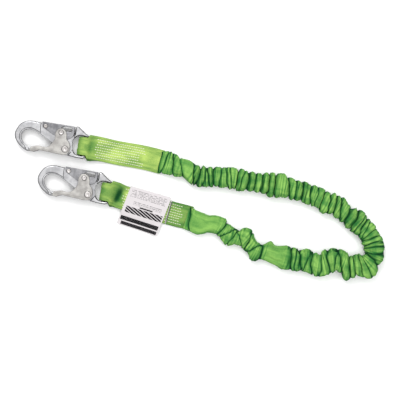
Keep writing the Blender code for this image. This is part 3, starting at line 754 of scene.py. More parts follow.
def strap_mesh(end):
    """One closed ribbon with soft edges, puckered along its stitch rows and creased at the bar."""
    s = sizes()
    path = strap_path(end)
    run = np.gradient(path, axis=0)
    run /= np.linalg.norm(run, axis=1, keepdims=True)
    out_u, out_z = -run[:, 1][:, None], run[:, 0][:, None]
    u = path[:, 0]
    uu = u[:, None]
    # The strap is narrow round the bar and spreads past the eye's arms.
    spread = smoothstep((uu - STRAP_SPREAD_FROM) / STRAP_SPREAD_REACH)
    half = (s.loop_width + (s.web_width - s.loop_width) * spread) / 2
    angle = math.tau * (np.arange(STRAP_SIDES) + 0.5) / STRAP_SIDES
    cos, sin = np.cos(angle)[None, :], np.sin(angle)[None, :]
    share = np.sign(cos) * np.abs(cos) ** 0.55 * np.ones_like(uu)
    v = half * share
    thick = s.web_thickness / 2 * np.sign(sin) * np.abs(sin) ** 0.45 * np.ones_like(uu)
    # Rows of thread pull the pack in.
    start, stop = SEWN_FROM_BAR[end], SEWN_TO[end]
    sewn = smoothstep((uu - start) / (4 * MM)) * smoothstep((stop - uu) / (4 * MM))
    nearest = v - ROW_PITCH * (np.round(v / ROW_PITCH - 0.5) + 0.5)
    inside = np.abs(v) < s.stitch_rows / 2 * ROW_PITCH
    pull = np.exp(-((nearest / (1.1 * MM)) ** 2)) * inside
    beads = 0.5 + 0.5 * np.cos(math.tau * uu / s.stitch_pitch)
    thick -= np.sign(thick) * PUCKER * pull * sewn * (0.6 + 0.4 * beads)
    # Slack round the bar shows as long creases that fade along the strap.
    slack = 1 - smoothstep((uu + 4 * MM) / (26 * MM))
    waves = np.sin(7 * share + 90 * uu) + 0.6 * np.sin(12 * share - 60 * uu)
    lift = np.maximum(0.5 * MM * slack * waves, -0.2 * MM)
    sag = 0.35 * MM * (1 - slack) * share**2
    top = (np.arange(len(u)) > len(u) // 2)[:, None]
    shift = thick + np.where(top, lift - sag, 0)
    dip = strap_dip(end, uu, v) * smoothstep((uu - 5 * MM) / (6 * MM))
    z = path[:, 1][:, None] + shift * out_z - dip
    # The lower ply shows a little past the upper one.
    south = -1 if end == "a" else 1
    aside = south * LOWER_PLY_ASIDE * np.exp(-(((uu - 9 * MM) / (15 * MM)) ** 2))
    wander = 0.5 * MM * np.sin(uu * 55 + 1) * (1 - slack) + np.where(top, 0, aside)
    points = LANYARD.place(LANYARD.from_end(end, uu + shift * out_u), v + wander, np.maximum(z, 0))
    travel = np.concatenate([[0], np.cumsum(np.linalg.norm(np.diff(path, axis=0), axis=1))])
    uv = cloth_map(travel, 2 * (s.web_width + s.web_thickness), STRAP_SIDES)
    # Painted light and shade: light on the sewn part; painted shade in the hollow, at the loop's turn, on the
    # edges, on the far part and on all of the lower ply
    light = 0.8 + 0.2 * smoothstep((uu - start) / (6 * MM)) - 0.3 * np.exp(-(((uu + 9 * MM) / (4 * MM)) ** 2))
    light -= STRAP_FAR_SHADE[end] * smoothstep((uu - SEWN_TO["a"]) / (9 * MM))
    light = light - 0.7 * STRAP_SHADE[end] * dip / STRAP_DIP[end][1] - 0.2 * np.abs(share) ** 6
    mesh = grid_mesh(f"strap {end}", points, uv, True, True)
    store(mesh, "painted_light", np.clip(np.where(top, light, LOWER_PLY_LIGHT), 0, 1))
    return mesh, travel[-1]


STITCH_SHARE = 0.84
STITCH_SINK = 0.1 * MM
ROW_SWAY, STITCH_STRAY = 0.25 * MM, 0.14 * MM


def pack_rows(end, below):
    """Pairs of points for the rows of stitches on one face of a pack, one pair for each stitch."""
    s = sizes()
    start, stop = SEWN_FROM_BAR[end], SEWN_TO[end]
    chance = np.random.default_rng(17 if end == "a" else 29)
    points = []
    for row in range(s.stitch_rows):
        v = (row - (s.stitch_rows - 1) / 2) * ROW_PITCH
        first = start + chance.uniform(0, 1.6) * s.stitch_pitch
        last = stop - chance.uniform(0, 3) * s.stitch_pitch
        at = np.arange(first, last, s.stitch_pitch)
        sway = ROW_SWAY * np.sin(at * 40 + row)
        ends = np.stack([at, at + STITCH_SHARE * s.stitch_pitch], axis=1)
        across = v + sway[:, None] + chance.normal(0, STITCH_STRAY, ends.shape)
        middle, half = strap_levels(ends)
        face = half + s.web_thickness / 2 - STITCH_SINK
        height = middle + (-face if below else face) - strap_dip(end, ends, across)
        height = np.maximum(height, s.thread)
        points.append(LANYARD.place(LANYARD.from_end(end, ends), across, height))
    return np.concatenate([p.reshape(-1, 3) for p in points])


@functools.cache
def stitch_tree():
    """Geometry nodes that lay one rounded stitch on each edge of a mesh."""
    tree = bpy.data.node_groups.new("stitch on each edge", "GeometryNodeTree")
    face = tree.interface
    face.new_socket("Geometry", in_out="INPUT", socket_type="NodeSocketGeometry")
    for label, default in (("Thread", 0.0005), ("Flatness", 0.8)):
        face.new_socket(label, in_out="INPUT", socket_type="NodeSocketFloat").default_value = default
    face.new_socket("Material", in_out="INPUT", socket_type="NodeSocketMaterial")
    face.new_socket("Geometry", in_out="OUTPUT", socket_type="NodeSocketGeometry")
    t = Tree(tree)
    given = {s.name: s for s in t.node("NodeGroupInput").outputs if s.name}
    ends = t.node("GeometryNodeInputMeshEdgeVertices").outputs
    run = t.node("ShaderNodeVectorMath", {0: ends["Position 2"], 1: ends["Position 1"]}, operation="SUBTRACT")
    held = t.node("GeometryNodeCaptureAttribute", {0: given["Geometry"]}, domain="EDGE")
    held.capture_items.new("VECTOR", "run")
    tree.links.new(run.outputs[0], held.inputs[1])
    dots = t.node("GeometryNodeMeshToPoints", {0: held.outputs[0]}, mode="EDGES")
    size = t.node("ShaderNodeVectorMath", {0: held.outputs[1]}, operation="LENGTH").outputs["Value"]
    half = t.times(size, 0.5)
    flat = t.times(given["Thread"], given["Flatness"])
    scale = t.node("ShaderNodeCombineXYZ", {0: half, 1: given["Thread"], 2: flat}).outputs[0]
    turn = t.node("FunctionNodeAlignRotationToVector", {"Vector": held.outputs[1]}, axis="X", pivot_axis="Z")
    bead = t.node("GeometryNodeMeshUVSphere", {"Segments": 10, "Rings": 8, "Radius": 1.0})
    placed = t.node(
        "GeometryNodeInstanceOnPoints",
        {"Points": dots.outputs[0], "Instance": bead.outputs[0], "Rotation": turn.outputs[0], "Scale": scale},
    )
    real = t.node("GeometryNodeRealizeInstances", {0: placed.outputs[0]})
    painted = t.node("GeometryNodeSetMaterial", {"Geometry": real.outputs[0], "Material": given["Material"]})
    out = t.node("NodeGroupOutput")
    tree.links.new(painted.outputs[0], out.inputs[0])
    return tree


def sew(name, points, thread, finish, body, nodes, flatness=0.8):
    """A piece of stitches, one for each pair of points."""
    mesh = bpy.data.meshes.new(name)
    mesh.from_pydata(points.tolist(), [(i, i + 1) for i in range(0, len(points), 2)], [])
    carrier = linked(mesh)
    change = carrier.modifiers.new("stitches", "NODES")
    change.node_group = stitch_tree()
    values = {"Thread": thread, "Flatness": flatness, "Material": material(finish)}
    for item in change.node_group.interface.items_tree:
        if item.in_out == "INPUT" and item.name in values:
            change[item.identifier] = values[item.name]
    result = evaluated_mesh(carrier)
    result.shade_smooth()
    return show(name, result, None, body, nodes)


# Gathered shell

SHELL_START = STRAP_LENGTH["a"] - 5 * MM
SHELL_STOP = LANYARD.length - STRAP_LENGTH["b"] + 5 * MM

# Along the shell in mm: width, height, sway to the left, depth of the ring folds, and depth of the pleats
SHELL_KEYS = [
    (0, 45, 8, 0, 2.4, 0.5), (12, 47, 14, 2.5, 6, 1), (26, 44, 20, 2, 7.2, 1), (38, 38, 22, -1, 3.6, 1.6),
    (50, 34, 21, 3, 0.72, 1.2), (58, 34, 22, 2, 0.72, 1), (70, 42, 24, -1, 7.2, 0.8), (100, 45, 26, 0, 9, 0.4),
    (130, 43, 26, 2, 8.4, 0.4), (150, 47, 26, -2, 9.6, 0.4), (200, 44, 26, 1, 9.6, 0.4),
    (214, 52, 28, -1, 9.6, 0.5), (232, 48, 28, 2, 8.4, 0.8), (246, 45, 26, 0, 9.6, 0.4),
    (300, 44, 26, 0, 9.6, 0.5), (322, 47, 27, -3, 9.6, 0.4), (340, 47, 27, 3, 9.6, 0.4),
    (357, 38, 26, -2, 6, 1), (378, 46, 27, 0, 9, 0.6), (415, 45, 27, 1, 8.4, 0.4), (448, 44, 28, 2, 8.4, 0.4),
    (466, 41, 28, 3, 7.2, 0.5), (482, 52, 29, 4, 8.4, 0.8), (498, 43, 27, -2, 7.8, 0.8),
    (511, 49, 28, 4, 9.6, 0.8), (532, 46, 28, -4, 9.6, 0.8), (549, 53, 28, -2, 7.2, 1.2),
    (567, 46, 26, 3, 7.8, 1.2), (592, 50, 26, -2, 8.4, 1), (610, 48, 24, 0, 8.4, 1), (630, 45, 20, 0, 1.8, 1.6),
    (650, 35, 18, 0, 0, 2.2), (664, 32, 19, -2, 0, 1.8), (673, 31, 20, -2, 2.4, 1), (683, 29, 22, 1, 3.6, 0.6),
    (693, 28, 20, 1, 2.4, 1), (702, 34, 20, 0, 4.8, 1), (716, 35, 21, -3, 4.8, 1), (730, 29, 20, -1, 4.2, 1),
    (744, 36, 21, 3, 4.8, 1.2), (757, 31, 19, 0, 3.6, 1.2), (768, 37, 18, -4, 2.4, 1), (788, 32, 17, 0, 0, 0.9),
    (802, 42, 16, 3, 0, 0.7), (818, 41, 12, 3, 1.2, 0.6), (829, 45, 8, 0, 2.4, 0.4),
]

# Folds of the shell: place along it and slant in mm, and how deep
VALLEYS = [
    (2, -3, 1.0), (12, 3, 0.7), (25, -6, 1.0), (42, -8, 0.9), (66, -7, 1.0), (78, 1, 1.0), (89, 2, 0.6),
    (97, -2, 0.7), (105, -1, 1.0), (117, 3, 0.7), (129, -3, 0.6), (138, -3, 0.5), (150, 1, 1.0), (159, 2, 0.5),
    (169, -1, 1.0), (183, -1, 0.8), (194, 0, 0.9), (208, 1, 0.9), (219, -1, 1.0), (245, -5, 1.0),
    (257, -3, 0.8), (271, -4, 1.0), (279, -2, 0.5), (288, -5, 0.8), (300, -3, 0.6), (311, -1, 1.0), (326, -4, 0.8),
    (337, -5, 0.8), (349, -9, 1.0), (367, -2, 1.0), (384, -6, 1.0), (393, -3, 0.5), (402, -6, 0.9),
    (411, -5, 0.7), (420, -1, 0.8), (428, 3, 0.7), (438, 1, 0.6), (446, -2, 0.5), (455, -5, 0.7), (466, 4, 1.0),
    (478, 2, 0.5), (490, -3, 0.9), (500, -3, 0.6), (510, -4, 0.9), (527, -8, 1.0), (537, 3, 0.5), (549, 2, 0.9),
    (564, 3, 0.6), (580, -4, 1.0), (591, 4, 0.5), (602, -6, 0.9), (612, -2, 0.5), (621, -3, 1.0), (677, -3, 1.0),
    (691, 8, 1.0), (709, -3, 1.0), (723, -12, 0.6), (735, 6, 1.0), (749, 10, 0.7), (762, 3, 1.0), (822, -5, 1.0),
]

# Round lumps that stand out of the shell: place along it, side, half length, and height in mm
LUMPS = [(667, -1, 10, 6), (684, 1, 9, 8), (742, 1, 9, 5), (716, -1, 9, 5), (483, 1, 9, 4), (511, 1, 6, 3)]


def shell_profile(u):
    keys = np.array(SHELL_KEYS, float)
    at = (u - SHELL_START) / (SHELL_STOP - SHELL_START) * keys[-1, 0]
    return [np.interp(at, keys[:, 0], keys[:, k]) * MM for k in range(1, keys.shape[1])]


def fold_lines(angle, chance):
    """Sorted valley lines over the angles round the shell, with the depth of each."""
    edge_depth = 0.3
    lines, depths = [np.full_like(angle, SHELL_START - 12 * MM)], [edge_depth]
    for place, slant, depth in VALLEYS:
        bow, fine = chance.normal(0, 1.1 * MM), chance.uniform(0.3, 1.5) * MM
        first, second = chance.uniform(0, math.tau, 2)
        line = SHELL_START + place * MM + slant * MM * np.cos(angle) + bow * np.sin(angle)
        line += fine * np.cos(2 * angle - first) + 0.5 * fine * np.cos(5 * angle - second)
        lines.append(line)
        depths.append(depth)
    lines.append(np.full_like(angle, SHELL_STOP + 25 * MM))
    depths.append(edge_depth)
    lines = np.array(lines)
    order = np.argsort(lines, axis=0)
    return np.take_along_axis(lines, order, axis=0), np.array(depths)[order]


def sine_noise(chance, u, angle, count, wave, turns):
    """Smooth noise over the shell, from a sum of sines. wave is in metres along it."""
    total = np.zeros(np.broadcast(u, angle).shape)
    for _ in range(count):
        k = math.tau / (wave * chance.uniform(0.6, 1.6))
        n = chance.integers(-turns, turns + 1)
        total += np.sin(k * u + n * angle + chance.uniform(0, math.tau))
    return total / math.sqrt(count)


# The gathers: a valley's widest half, how it climbs, its deepest share and how far into a fold the painted shade
# reaches
VALLEY_REACH, VALLEY_CURVE, DEEPEST_SHARE = 7 * MM, 0.72, 1.15
SHADE_BEHIND, SHADE_AHEAD, SHADE_LEAST = 7.5 * MM, 3.2 * MM, 0.3 * MM
NARROW_FOLD = 9 * MM
FINE_WAVE, FINE_DEPTH = 4.5 * MM, 0.3 * MM
SWELL_WAVE, SWELL_DEPTH = 50 * MM, 0.8 * MM
PLEAT_WAVE, PLEATS = 60 * MM, 5
SHELL_FLOOR = 0.3 * MM
KNOT_SHADE_AT, KNOT_SHADE_REACH = 682, 8
SHELL_ROWS, SHELL_SIDES = 1150, 80
CORD_POINTS, CORD_WIDTH = 200, 0.045


def gathers(uu, angle, chance):
    """How many valley lines there are, each point's fold, and the lines and depths on both sides of it."""
    lines, depths = fold_lines(angle, chance)
    fold = [np.searchsorted(lines[:, j], uu[:, j], side="right") for j in range(len(angle))]
    fold = np.clip(np.stack(fold, axis=1), 1, len(lines) - 1)
    column = np.arange(len(angle))[None, :]
    sides = [(lines[k, column], depths[k, column]) for k in (fold - 1, fold)]
    return len(lines), fold, *sides


def section_points(width, height, cos, sin):
    """A flattened round section, which is flatter where the shell is low."""
    flat = 1 - smoothstep((height - 8 * MM) / (12 * MM))
    power = 0.84 - 0.38 * flat
    return [np.sign(part) * np.abs(part) ** power * size / 2 for part, size in ((cos, width), (sin, height))]


def shell_points():
    """Points of the gathered shell, the light and shade painted on each, and its place on the flat cloth."""
    chance = np.random.default_rng(8)
    u = np.linspace(SHELL_START, SHELL_STOP, SHELL_ROWS)
    around = math.tau * np.arange(SHELL_SIDES) / SHELL_SIDES
    angle = around[None, :]
    cos, sin = np.cos(angle), np.sin(angle)
    width, height, sway, ring_depth, pleat_depth = (part[:, None] for part in shell_profile(u))
    uu = np.broadcast_to(u[:, None], (SHELL_ROWS, SHELL_SIDES))
    at = (uu - SHELL_START) / MM
    count, fold, (low, low_depth), (high, high_depth) = gathers(uu, around, chance)
    gap = np.maximum(high - low, 0.5 * MM)
    share = np.clip((uu - low) / gap, 0, 1)
    reach = np.minimum(0.5 * gap, VALLEY_REACH)
    gathered = smoothstep(ring_depth / (3 * MM))

    def climb(distance, depth):
        return depth * (1 - np.sin(math.pi / 2 * np.clip(distance / reach, 0, 1)) ** VALLEY_CURVE)

    # Rings, with every fold a little lower than the next and lower on one side
    valley = np.maximum(climb(uu - low, low_depth), climb(high - uu, high_depth))
    lower = chance.uniform(0, 0.32, count)[fold]
    narrow = 0.25 * (1 - smoothstep(gap / NARROW_FOLD))
    side = 0.14 * (1 + np.cos(angle - chance.uniform(0, math.tau, count)[fold]))
    rise = -ring_depth * np.clip(valley + (lower + narrow + side) * np.sin(math.pi * share), 0, DEEPEST_SHARE)
    rise += FINE_DEPTH * gathered * sine_noise(chance, uu, angle, 9, FINE_WAVE, 4)
    # Pleats along the shell
    phase = PLEATS * angle + 1.3 * sine_noise(chance, uu, angle, 5, PLEAT_WAVE, 1)
    pleat = np.abs(np.sin(phase / 2)) ** 0.7
    rise += 1.3 * pleat_depth * (pleat - 0.8)
    rise += SWELL_DEPTH * gathered * sine_noise(chance, uu, angle, 6, SWELL_WAVE, 1)
    for place, way, half_length, out in LUMPS:
        near = np.exp(-(((at - place) / half_length) ** 4))
        rise += out * MM * near * np.clip(way * cos, 0, 1) ** 1.5
    across, upward = section_points(width, height, cos, sin)
    v = sway + across + cos * rise
    z = height / 2 + upward + sin * rise * np.where(sin > 0, 1.0, 0.5)
    # The sides never cut into the core.
    room = CORE_ROOM * np.abs(across) / (width / 2)
    v = np.where(np.abs(cos) > 0.35, np.sign(cos) * np.maximum(np.abs(v), room), v)
    lean = chance.uniform(-1, 1, count)[fold]
    shift = 0.16 * lean * gap * np.sin(math.tau * share) * gathered
    points = LANYARD.place(uu + shift, v, np.maximum(z, SHELL_FLOOR))
    # Painted light and shade: painted shade in the valleys, on the sides and in the knot's crook; painted
    # highlights on the pleats, on the smooth part and in streaks along the folds
    behind = np.clip((uu - low) / (SHADE_LEAST + SHADE_BEHIND * low_depth), 0, 1) ** 0.8
    ahead = np.clip((high - uu) / (SHADE_LEAST + SHADE_AHEAD * high_depth), 0, 1) ** 0.75
    smooth_part = 1 - smoothstep(ring_depth / (4 * MM))
    light = behind * ahead * (1 + 0.06 * smooth_part) * (0.8 + 0.2 * pleat)
    light *= (1 + 0.36 * gathered * sine_noise(chance, uu, angle, 10, FINE_WAVE, 3)) * (1 - 0.4 * cos**4)
    light *= 1 - 0.5 * smoothstep(cos) * np.exp(-(((at - KNOT_SHADE_AT) / KNOT_SHADE_REACH) ** 2))
    length = np.linalg.norm(np.diff(points, axis=0), axis=2)
    travel = np.concatenate([np.zeros((1, SHELL_SIDES)), np.cumsum(length, axis=0)]).mean(axis=1)
    return points, np.clip(light, 0, 1.5), cloth_map(travel, 2 * sizes().web_width, SHELL_SIDES)


def cloth_map(travel, girth, sides):
    """Each point's place on the flat cloth, in millimetres."""
    round_it = np.arange(sides) / sides * girth
    return np.stack(np.broadcast_arrays(travel[:, None] / MM, round_it[None, :] / MM), axis=-1)


def store(mesh, name, values):
    layer = mesh.attributes.new(name, "FLOAT", "POINT")
    layer.data.foreach_set("value", np.asarray(values, np.float32).reshape(-1))


def shell_mesh():
    points, light, uv = shell_points()
    mesh = grid_mesh("gathered shell", points, uv, True, False)
    store(mesh, "painted_light", light)
    return mesh


# Label


def label_frame():
    joint = JOINTS["label_flip"]
    toward_hook = Vector(joint["axis"]).cross(Vector((0, 0, -1)))
    return Vector(joint["pos_m"]), toward_hook.normalized(), -Vector(joint["axis"]).normalized()


def label_points(along, across, lift):
    """World points of the label from its fold: along the strap towards the hook, across it, and up."""
    origin, x, y = label_frame()
    return (np.array(origin) + along[..., None] * np.array(x) + across[..., None] * np.array(y)
            + lift[..., None] * np.array((0, 0, 1)))


PAGE_THICKNESS, TAB_THICKNESS = 0.45 * MM, 0.5 * MM
PAGE_DROP, PAGE_WAVE, PAGE_CURL = 4.6 * MM, 0.5 * MM, 1.2 * MM
SEAM_STITCHES, SEAM_THREAD = 26, 0.62 * MM
SEAM_NEAR, SEAM_FAR = -0.9 * MM, -2.3 * MM


def label_sheet(rows, columns):
    """The page: flat over the strap, hanging down past its edge, and lying askew."""
    near = -(sizes().web_width / 2 + LABEL_OVERHANG)
    a = np.linspace(LABEL_FOLD, LABEL_LENGTH, rows)[:, None]
    c = np.linspace(near, near + LABEL_WIDTH, columns)[None, :]
    a, c = np.broadcast_arrays(a, c)
    past = np.clip(c - sizes().web_width / 2, 0, None)
    drop = PAGE_DROP * smoothstep(past / (24 * MM)) * smoothstep(a / (18 * MM))
    wave = PAGE_WAVE * np.sin(a * 95 + c * 30) * smoothstep(a / (20 * MM))
    curl = PAGE_CURL * smoothstep((a - 58 * MM) / (18 * MM)) * (0.3 + 0.7 * smoothstep(-c / (20 * MM)))
    far, low = (a - a.min()) / (a.max() - a.min()), (c - near) / LABEL_WIDTH
    skew_a = 3.9 * MM * far + low * (7.2 - 0.7 * far) * MM
    skew_c = -low * (2.8 + 2.9 * far) * MM
    points = label_points(a + skew_a, c + skew_c, wave + curl - drop)
    uv = np.stack([(a - a.min()) / (a.max() - a.min()), (c - c.min()) / (c.max() - c.min())], axis=-1)
    return points, uv


def label_material(colour):
    """Off-white coated sheet with a generic print: thin rules, a plain bar and two wide blocks."""
    made, t, shader = new_material("printed label")
    where = t.node("ShaderNodeUVMap", uv_map="cloth").outputs[0]
    split = t.node("ShaderNodeSeparateXYZ", {0: where}).outputs
    x, y = split[0], split[1]

    def block(x0, x1, y0, y1):
        inside = t.times(t.math("GREATER_THAN", x, x0), t.math("LESS_THAN", x, x1))
        upright = t.times(t.math("GREATER_THAN", y, y0), t.math("LESS_THAN", y, y1))
        return t.times(inside, upright)

    def rules(area, count, seed, cover):
        line = t.math("FLOOR", t.times(y, count))
        lane = t.math("LESS_THAN", t.math("FRACT", t.times(y, count)), 0.42)
        place = t.node("ShaderNodeCombineXYZ", {0: t.times(x, 38.0), 1: t.plus(line, seed)})
        dash = t.math("GREATER_THAN", t.noise(place.outputs[0], 1.0, 1.0), cover)
        return t.times(t.times(lane, dash), area)

    def blocks(area, count, slant, cover):
        lean = t.plus(t.times(x, count), t.times(y, slant))
        return t.times(t.math("LESS_THAN", t.math("FRACT", lean), cover), area)

    fine = t.math("MAXIMUM", rules(block(0.07, 0.93, 0.05, 0.26), 30.0, 3.7, 0.46),
                  rules(block(0.1, 0.8, 0.34, 0.43), 26.0, 9.1, 0.45))
    solid = blocks(block(0.03, 0.93, 0.5, 0.66), 7.0, 16.0, 0.74)
    for area, slant in ((block(0.3, 0.62, 0.445, 0.48), 30.0), (block(0.03, 0.97, 0.765, 0.87), -40.0),
                        (block(0.03, 0.92, 0.9, 0.985), -40.0)):
        solid = t.math("MAXIMUM", solid, blocks(area, 13.0, slant, 0.985))
    ink = t.math("MAXIMUM", solid, t.times(fine, 0.68))
    fade = t.range(t.noise(t.stretch(where, (60.0, 60.0, 1.0)), 1.0, 3.0), 0.2, 0.5, 0.95, 1.0)
    stain = t.range(t.noise(t.stretch(where, (3.0, 3.0, 1.0)), 1.0, 4.0), 0.3, 0.75, 0.93, 1.0)
    paper = t.mix(stain, tuple(0.8 * p for p in colour) + (1,), (*colour, 1))
    t.link(t.mix(t.times(ink, fade), paper, (0.004, 0.004, 0.005, 1)), shader.inputs["Base Color"])
    t.link(t.plus(0.52, t.times(ink, 0.2)), shader.inputs["Roughness"])
    shader.inputs["Specular IOR Level"].default_value = 0.2
    bumped(t, shader, t.noise(t.stretch(where, (160.0, 160.0, 1.0)), 1.0, 2.0), 0.12, 0.0002)
    return made


def thickened(mesh, thickness):
    """The open sheet with a wall of this thickness, half to each side."""
    piece = linked(mesh)
    wall = piece.modifiers.new("wall", "SOLIDIFY")
    wall.thickness, wall.offset = thickness, 0
    result = evaluated_mesh(piece)
    result.shade_smooth()
    result.set_sharp_from_angle(angle=math.radians(50))
    return result


# Operators


# The floor, the light in watts and metres, and the camera with its lens in mm
FLOOR_REACH, FLOOR_DROP, FLOOR_COLOUR = 6.0, 0.2 * MM, (0.93, 0.93, 0.93)
SKY_AT_HORIZON, SKY_OVERHEAD = 0.1, 1.45
LAMPS = (("key light", (-0.5, 1.5, 1.7), 1.0, 26), ("fill light", (1.0, -0.6, 2.4), 2.4, 12))
CAMERA_PLACE, CAMERA_LENS, CAMERA_FILM = (0.0017, -0.0034, 2.6), 126.0, 36.0


class Step(bpy.types.Operator):
    """What the steps share"""

    bl_options = {"REGISTER", "UNDO"}


class LANYARD_OT_stage(Step):
    """Lay a pale floor, set soft lights and point the camera straight down"""

    bl_idname = "lanyard.stage"
    bl_label = "Stage"

    def execute(self, context):
        scene = context.scene
        scene.view_settings.view_transform = "Standard"
        floor_mesh = bpy.data.meshes.new("floor")
        corners = [(x * FLOOR_REACH, y * FLOOR_REACH, 0) for x, y in ((-1, -1), (1, -1), (1, 1), (-1, 1))]
        floor_mesh.from_pydata(corners, [], [(0, 1, 2, 3)])
        floor = linked(floor_mesh, "floor", (0, 0, -FLOOR_DROP))
        look, _, shader = new_material("pale floor")
        shader.inputs["Base Color"].default_value = (*FLOOR_COLOUR, 1)
        shader.inputs["Roughness"].default_value = 0.9
        shader.inputs["Specular IOR Level"].default_value = 0.1
        floor_mesh.materials.append(look)
        world = bpy.data.worlds.new("studio")
        scene.world = world
        world.use_nodes = True
        t = Tree(world.node_tree)
        toward = t.node("ShaderNodeTexCoord").outputs["Generated"]
        height = t.node("ShaderNodeSeparateXYZ", {0: toward}).outputs[2]
        strength = t.range(height, 0.0, 0.95, SKY_AT_HORIZON, SKY_OVERHEAD)
        # The backdrop itself is plain white.
        seen = t.node("ShaderNodeLightPath").outputs["Is Camera Ray"]
        t.link(t.math("MAXIMUM", strength, seen), world.node_tree.nodes["Background"].inputs[1])
        world.node_tree.nodes["Background"].inputs[0].default_value = (1, 1, 1, 1)
        for name, place, size, power in LAMPS:
            light = bpy.data.lights.new(name, "AREA")
            light.size, light.energy = size, power
            lamp = linked(light, name, place)
            lamp.rotation_euler = (-Vector(place)).to_track_quat("-Z", "Y").to_euler()
        camera = bpy.data.cameras.new("camera")
        camera.lens, camera.sensor_width = CAMERA_LENS, CAMERA_FILM
        scene.camera = linked(camera, "camera", CAMERA_PLACE)
        return {"FINISHED"}


class LANYARD_OT_hook_bodies(Step):
    """Make the two forged hook bodies"""

    bl_idname = "lanyard.hook_bodies"
    bl_label = "Hook bodies"

    def execute(self, context):
        on_both_hooks("forged_hook", hook_body_mesh(), "forged", "hook", "hook_body")
        return {"FINISHED"}


class LANYARD_OT_gates(Step):
    """Make the stamped gates and lock levers"""

    bl_idname = "lanyard.gates"
    bl_label = "Gates and levers"

    def execute(self, context):
        on_both_hooks("stamped_gate", gate_mesh(), "plate", "gate_set", "gate")
        on_both_hooks("stamped_lever", lever_mesh(), "lever", "lever_set", "lock_lever")
        return {"FINISHED"}


class LANYARD_OT_rivets(Step):
    """Turn the rivets and lock pins, and finish the springs"""

    bl_idname = "lanyard.rivets"
    bl_label = "Rivets and springs"

    def execute(self, context):
        seat, top = GATE_OUTER + 0.3 * MM, HOOK_MIDDLE
        low_seat, low_top = LEVER_OUTER + 0.3 * MM, LEVER_OUTER + 1.8 * MM
        for name, body, centre, shaft, head, inner, outer in (
            ("gate_rivet", "hook", GATE_PIVOT, 4.0 * MM, 6.4 * MM, seat, top),
            ("lock_pin", "gate_set", LOCK_PIN, 2.5 * MM, 4.8 * MM, seat, top),
            ("lever_rivet", "hook", LEVER_PIVOT, 2.4 * MM, 4.2 * MM, low_seat, low_top),
        ):
            mesh = rivet_mesh(centre, shaft, head, inner, outer)
            on_both_hooks(f"turned_{name}", mesh, "rivet", body, name, 50)
        for end in ENDS:
            for name in (f"gate_spring_{end}", f"lever_spring_{end}"):
                paint_node(name, "spring")
        return {"FINISHED"}


def paint_node(name, finish):
    node = frame["nodes"][name]
    node.data.materials.clear()
    node.data.materials.append(material(finish))


class LANYARD_OT_straps(Step):
    """Make the doubled end straps and finish the wear liners"""

    bl_idname = "lanyard.straps"
    bl_label = "End straps"

    def execute(self, context):
        for end in ENDS:
            mesh, length = strap_mesh(end)
            strap = show(f"webbing_strap_{end}", mesh, "strap", "lanyard", [f"end_strap_{end}"])
            paint_node(f"wear_liner_{end}", "liner")
        return {"FINISHED"}


class LANYARD_OT_stitching(Step):
    """Sew the packs with rows of pale thread"""

    bl_idname = "lanyard.stitching"
    bl_label = "Pack stitching"

    def execute(self, context):
        for end in ENDS:
            rows = np.concatenate([pack_rows(end, False), pack_rows(end, True)])
            node = f"pack_stitching_{end}"
            sew(f"thread_rows_{end}", rows, sizes().thread, "thread", "lanyard", [node])
        return {"FINISHED"}


class LANYARD_OT_shell(Step):
    """Gather the shell over the core"""

    bl_idname = "lanyard.shell"
    bl_label = "Gathered shell"

    def execute(self, context):
        shell = show("gathered_shell", shell_mesh(), "shell", "lanyard", ["stretch_shell"])
        u = np.linspace(SHELL_START, SHELL_STOP, CORD_POINTS)
        _, height, sway, _, _ = shell_profile(u)
        path = LANYARD.place(u, sway, height / 2)
        paint_node("energy_core", "core")
        paint_node("elastic_tape", "elastic")
        return {"FINISHED"}


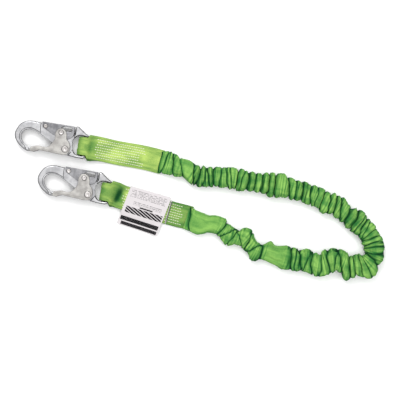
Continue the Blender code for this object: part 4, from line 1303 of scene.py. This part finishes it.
class LANYARD_OT_label(Step):
    """Make the label, its sewn tab and its black seam"""

    bl_idname = "lanyard.label"
    bl_label = "Label"

    def execute(self, context):
        points, uv = label_sheet(50, 54)
        page = thickened(grid_mesh("page", points, uv, False, False), PAGE_THICKNESS)
        page = show("printed_page", page, "label", "label_flap", ["label_page"])
        inset = sizes().web_width / 2 - 1 * MM
        a = np.linspace(-LABEL_TAB, -0.15 * MM, 8)[:, None]
        c = np.linspace(-inset, inset, 30)[None, :]
        a, c = np.broadcast_arrays(a, c)
        lift = -0.12 * MM * np.cos(c / inset * 20)
        margin = np.full(a.shape + (2,), 0.02)
        tab = thickened(grid_mesh("tab", label_points(a, c, lift), margin, False, False), TAB_THICKNESS)
        show("sewn_tab", tab, "label", "lanyard", ["label_tab"])
        across = np.linspace(-inset + 1 * MM, inset - 1 * MM, SEAM_STITCHES + 1)
        swing = np.where(np.arange(SEAM_STITCHES + 1) % 2, SEAM_NEAR, SEAM_FAR)
        corners = label_points(swing, across, np.full(SEAM_STITCHES + 1, TAB_THICKNESS))
        legs = np.repeat(corners, 2, axis=0)[1:-1]
        sew("black_seam", legs, SEAM_THREAD, "black", "lanyard", ["label_seam"])
        return {"FINISHED"}


class LANYARD_PT_panel(bpy.types.Panel):
    """The lanyard's sizes, colours and steps"""

    bl_idname = "LANYARD_PT_panel"
    bl_label = "Lanyard"
    bl_space_type = "VIEW_3D"
    bl_region_type = "UI"
    bl_category = "Lanyard"

    def draw(self, context):
        for group in (context.scene.lanyard_sizes, context.scene.lanyard_colours):
            for name in group.bl_rna.properties.keys():
                if name not in ("name", "rna_type"):
                    self.layout.prop(group, name)
        for step in STEPS:
            self.layout.operator(step.bl_idname)


STEPS = (
    LANYARD_OT_stage, LANYARD_OT_shell, LANYARD_OT_straps, LANYARD_OT_stitching, LANYARD_OT_label,
    LANYARD_OT_hook_bodies, LANYARD_OT_gates, LANYARD_OT_rivets,
)
CLASSES = (LanyardSizes, LanyardColours, *STEPS, LANYARD_PT_panel)


def register():
    for item in CLASSES:
        bpy.utils.register_class(item)
    bpy.types.Scene.lanyard_sizes = bpy.props.PointerProperty(type=LanyardSizes)
    bpy.types.Scene.lanyard_colours = bpy.props.PointerProperty(type=LanyardColours)


def unregister():
    del bpy.types.Scene.lanyard_colours
    del bpy.types.Scene.lanyard_sizes
    for item in reversed(CLASSES):
        bpy.utils.unregister_class(item)


def main():
    register()
    for step in STEPS:
        group, name = step.bl_idname.split(".")
        getattr(getattr(bpy.ops, group), name)()


if __name__ == "__main__":
    main()
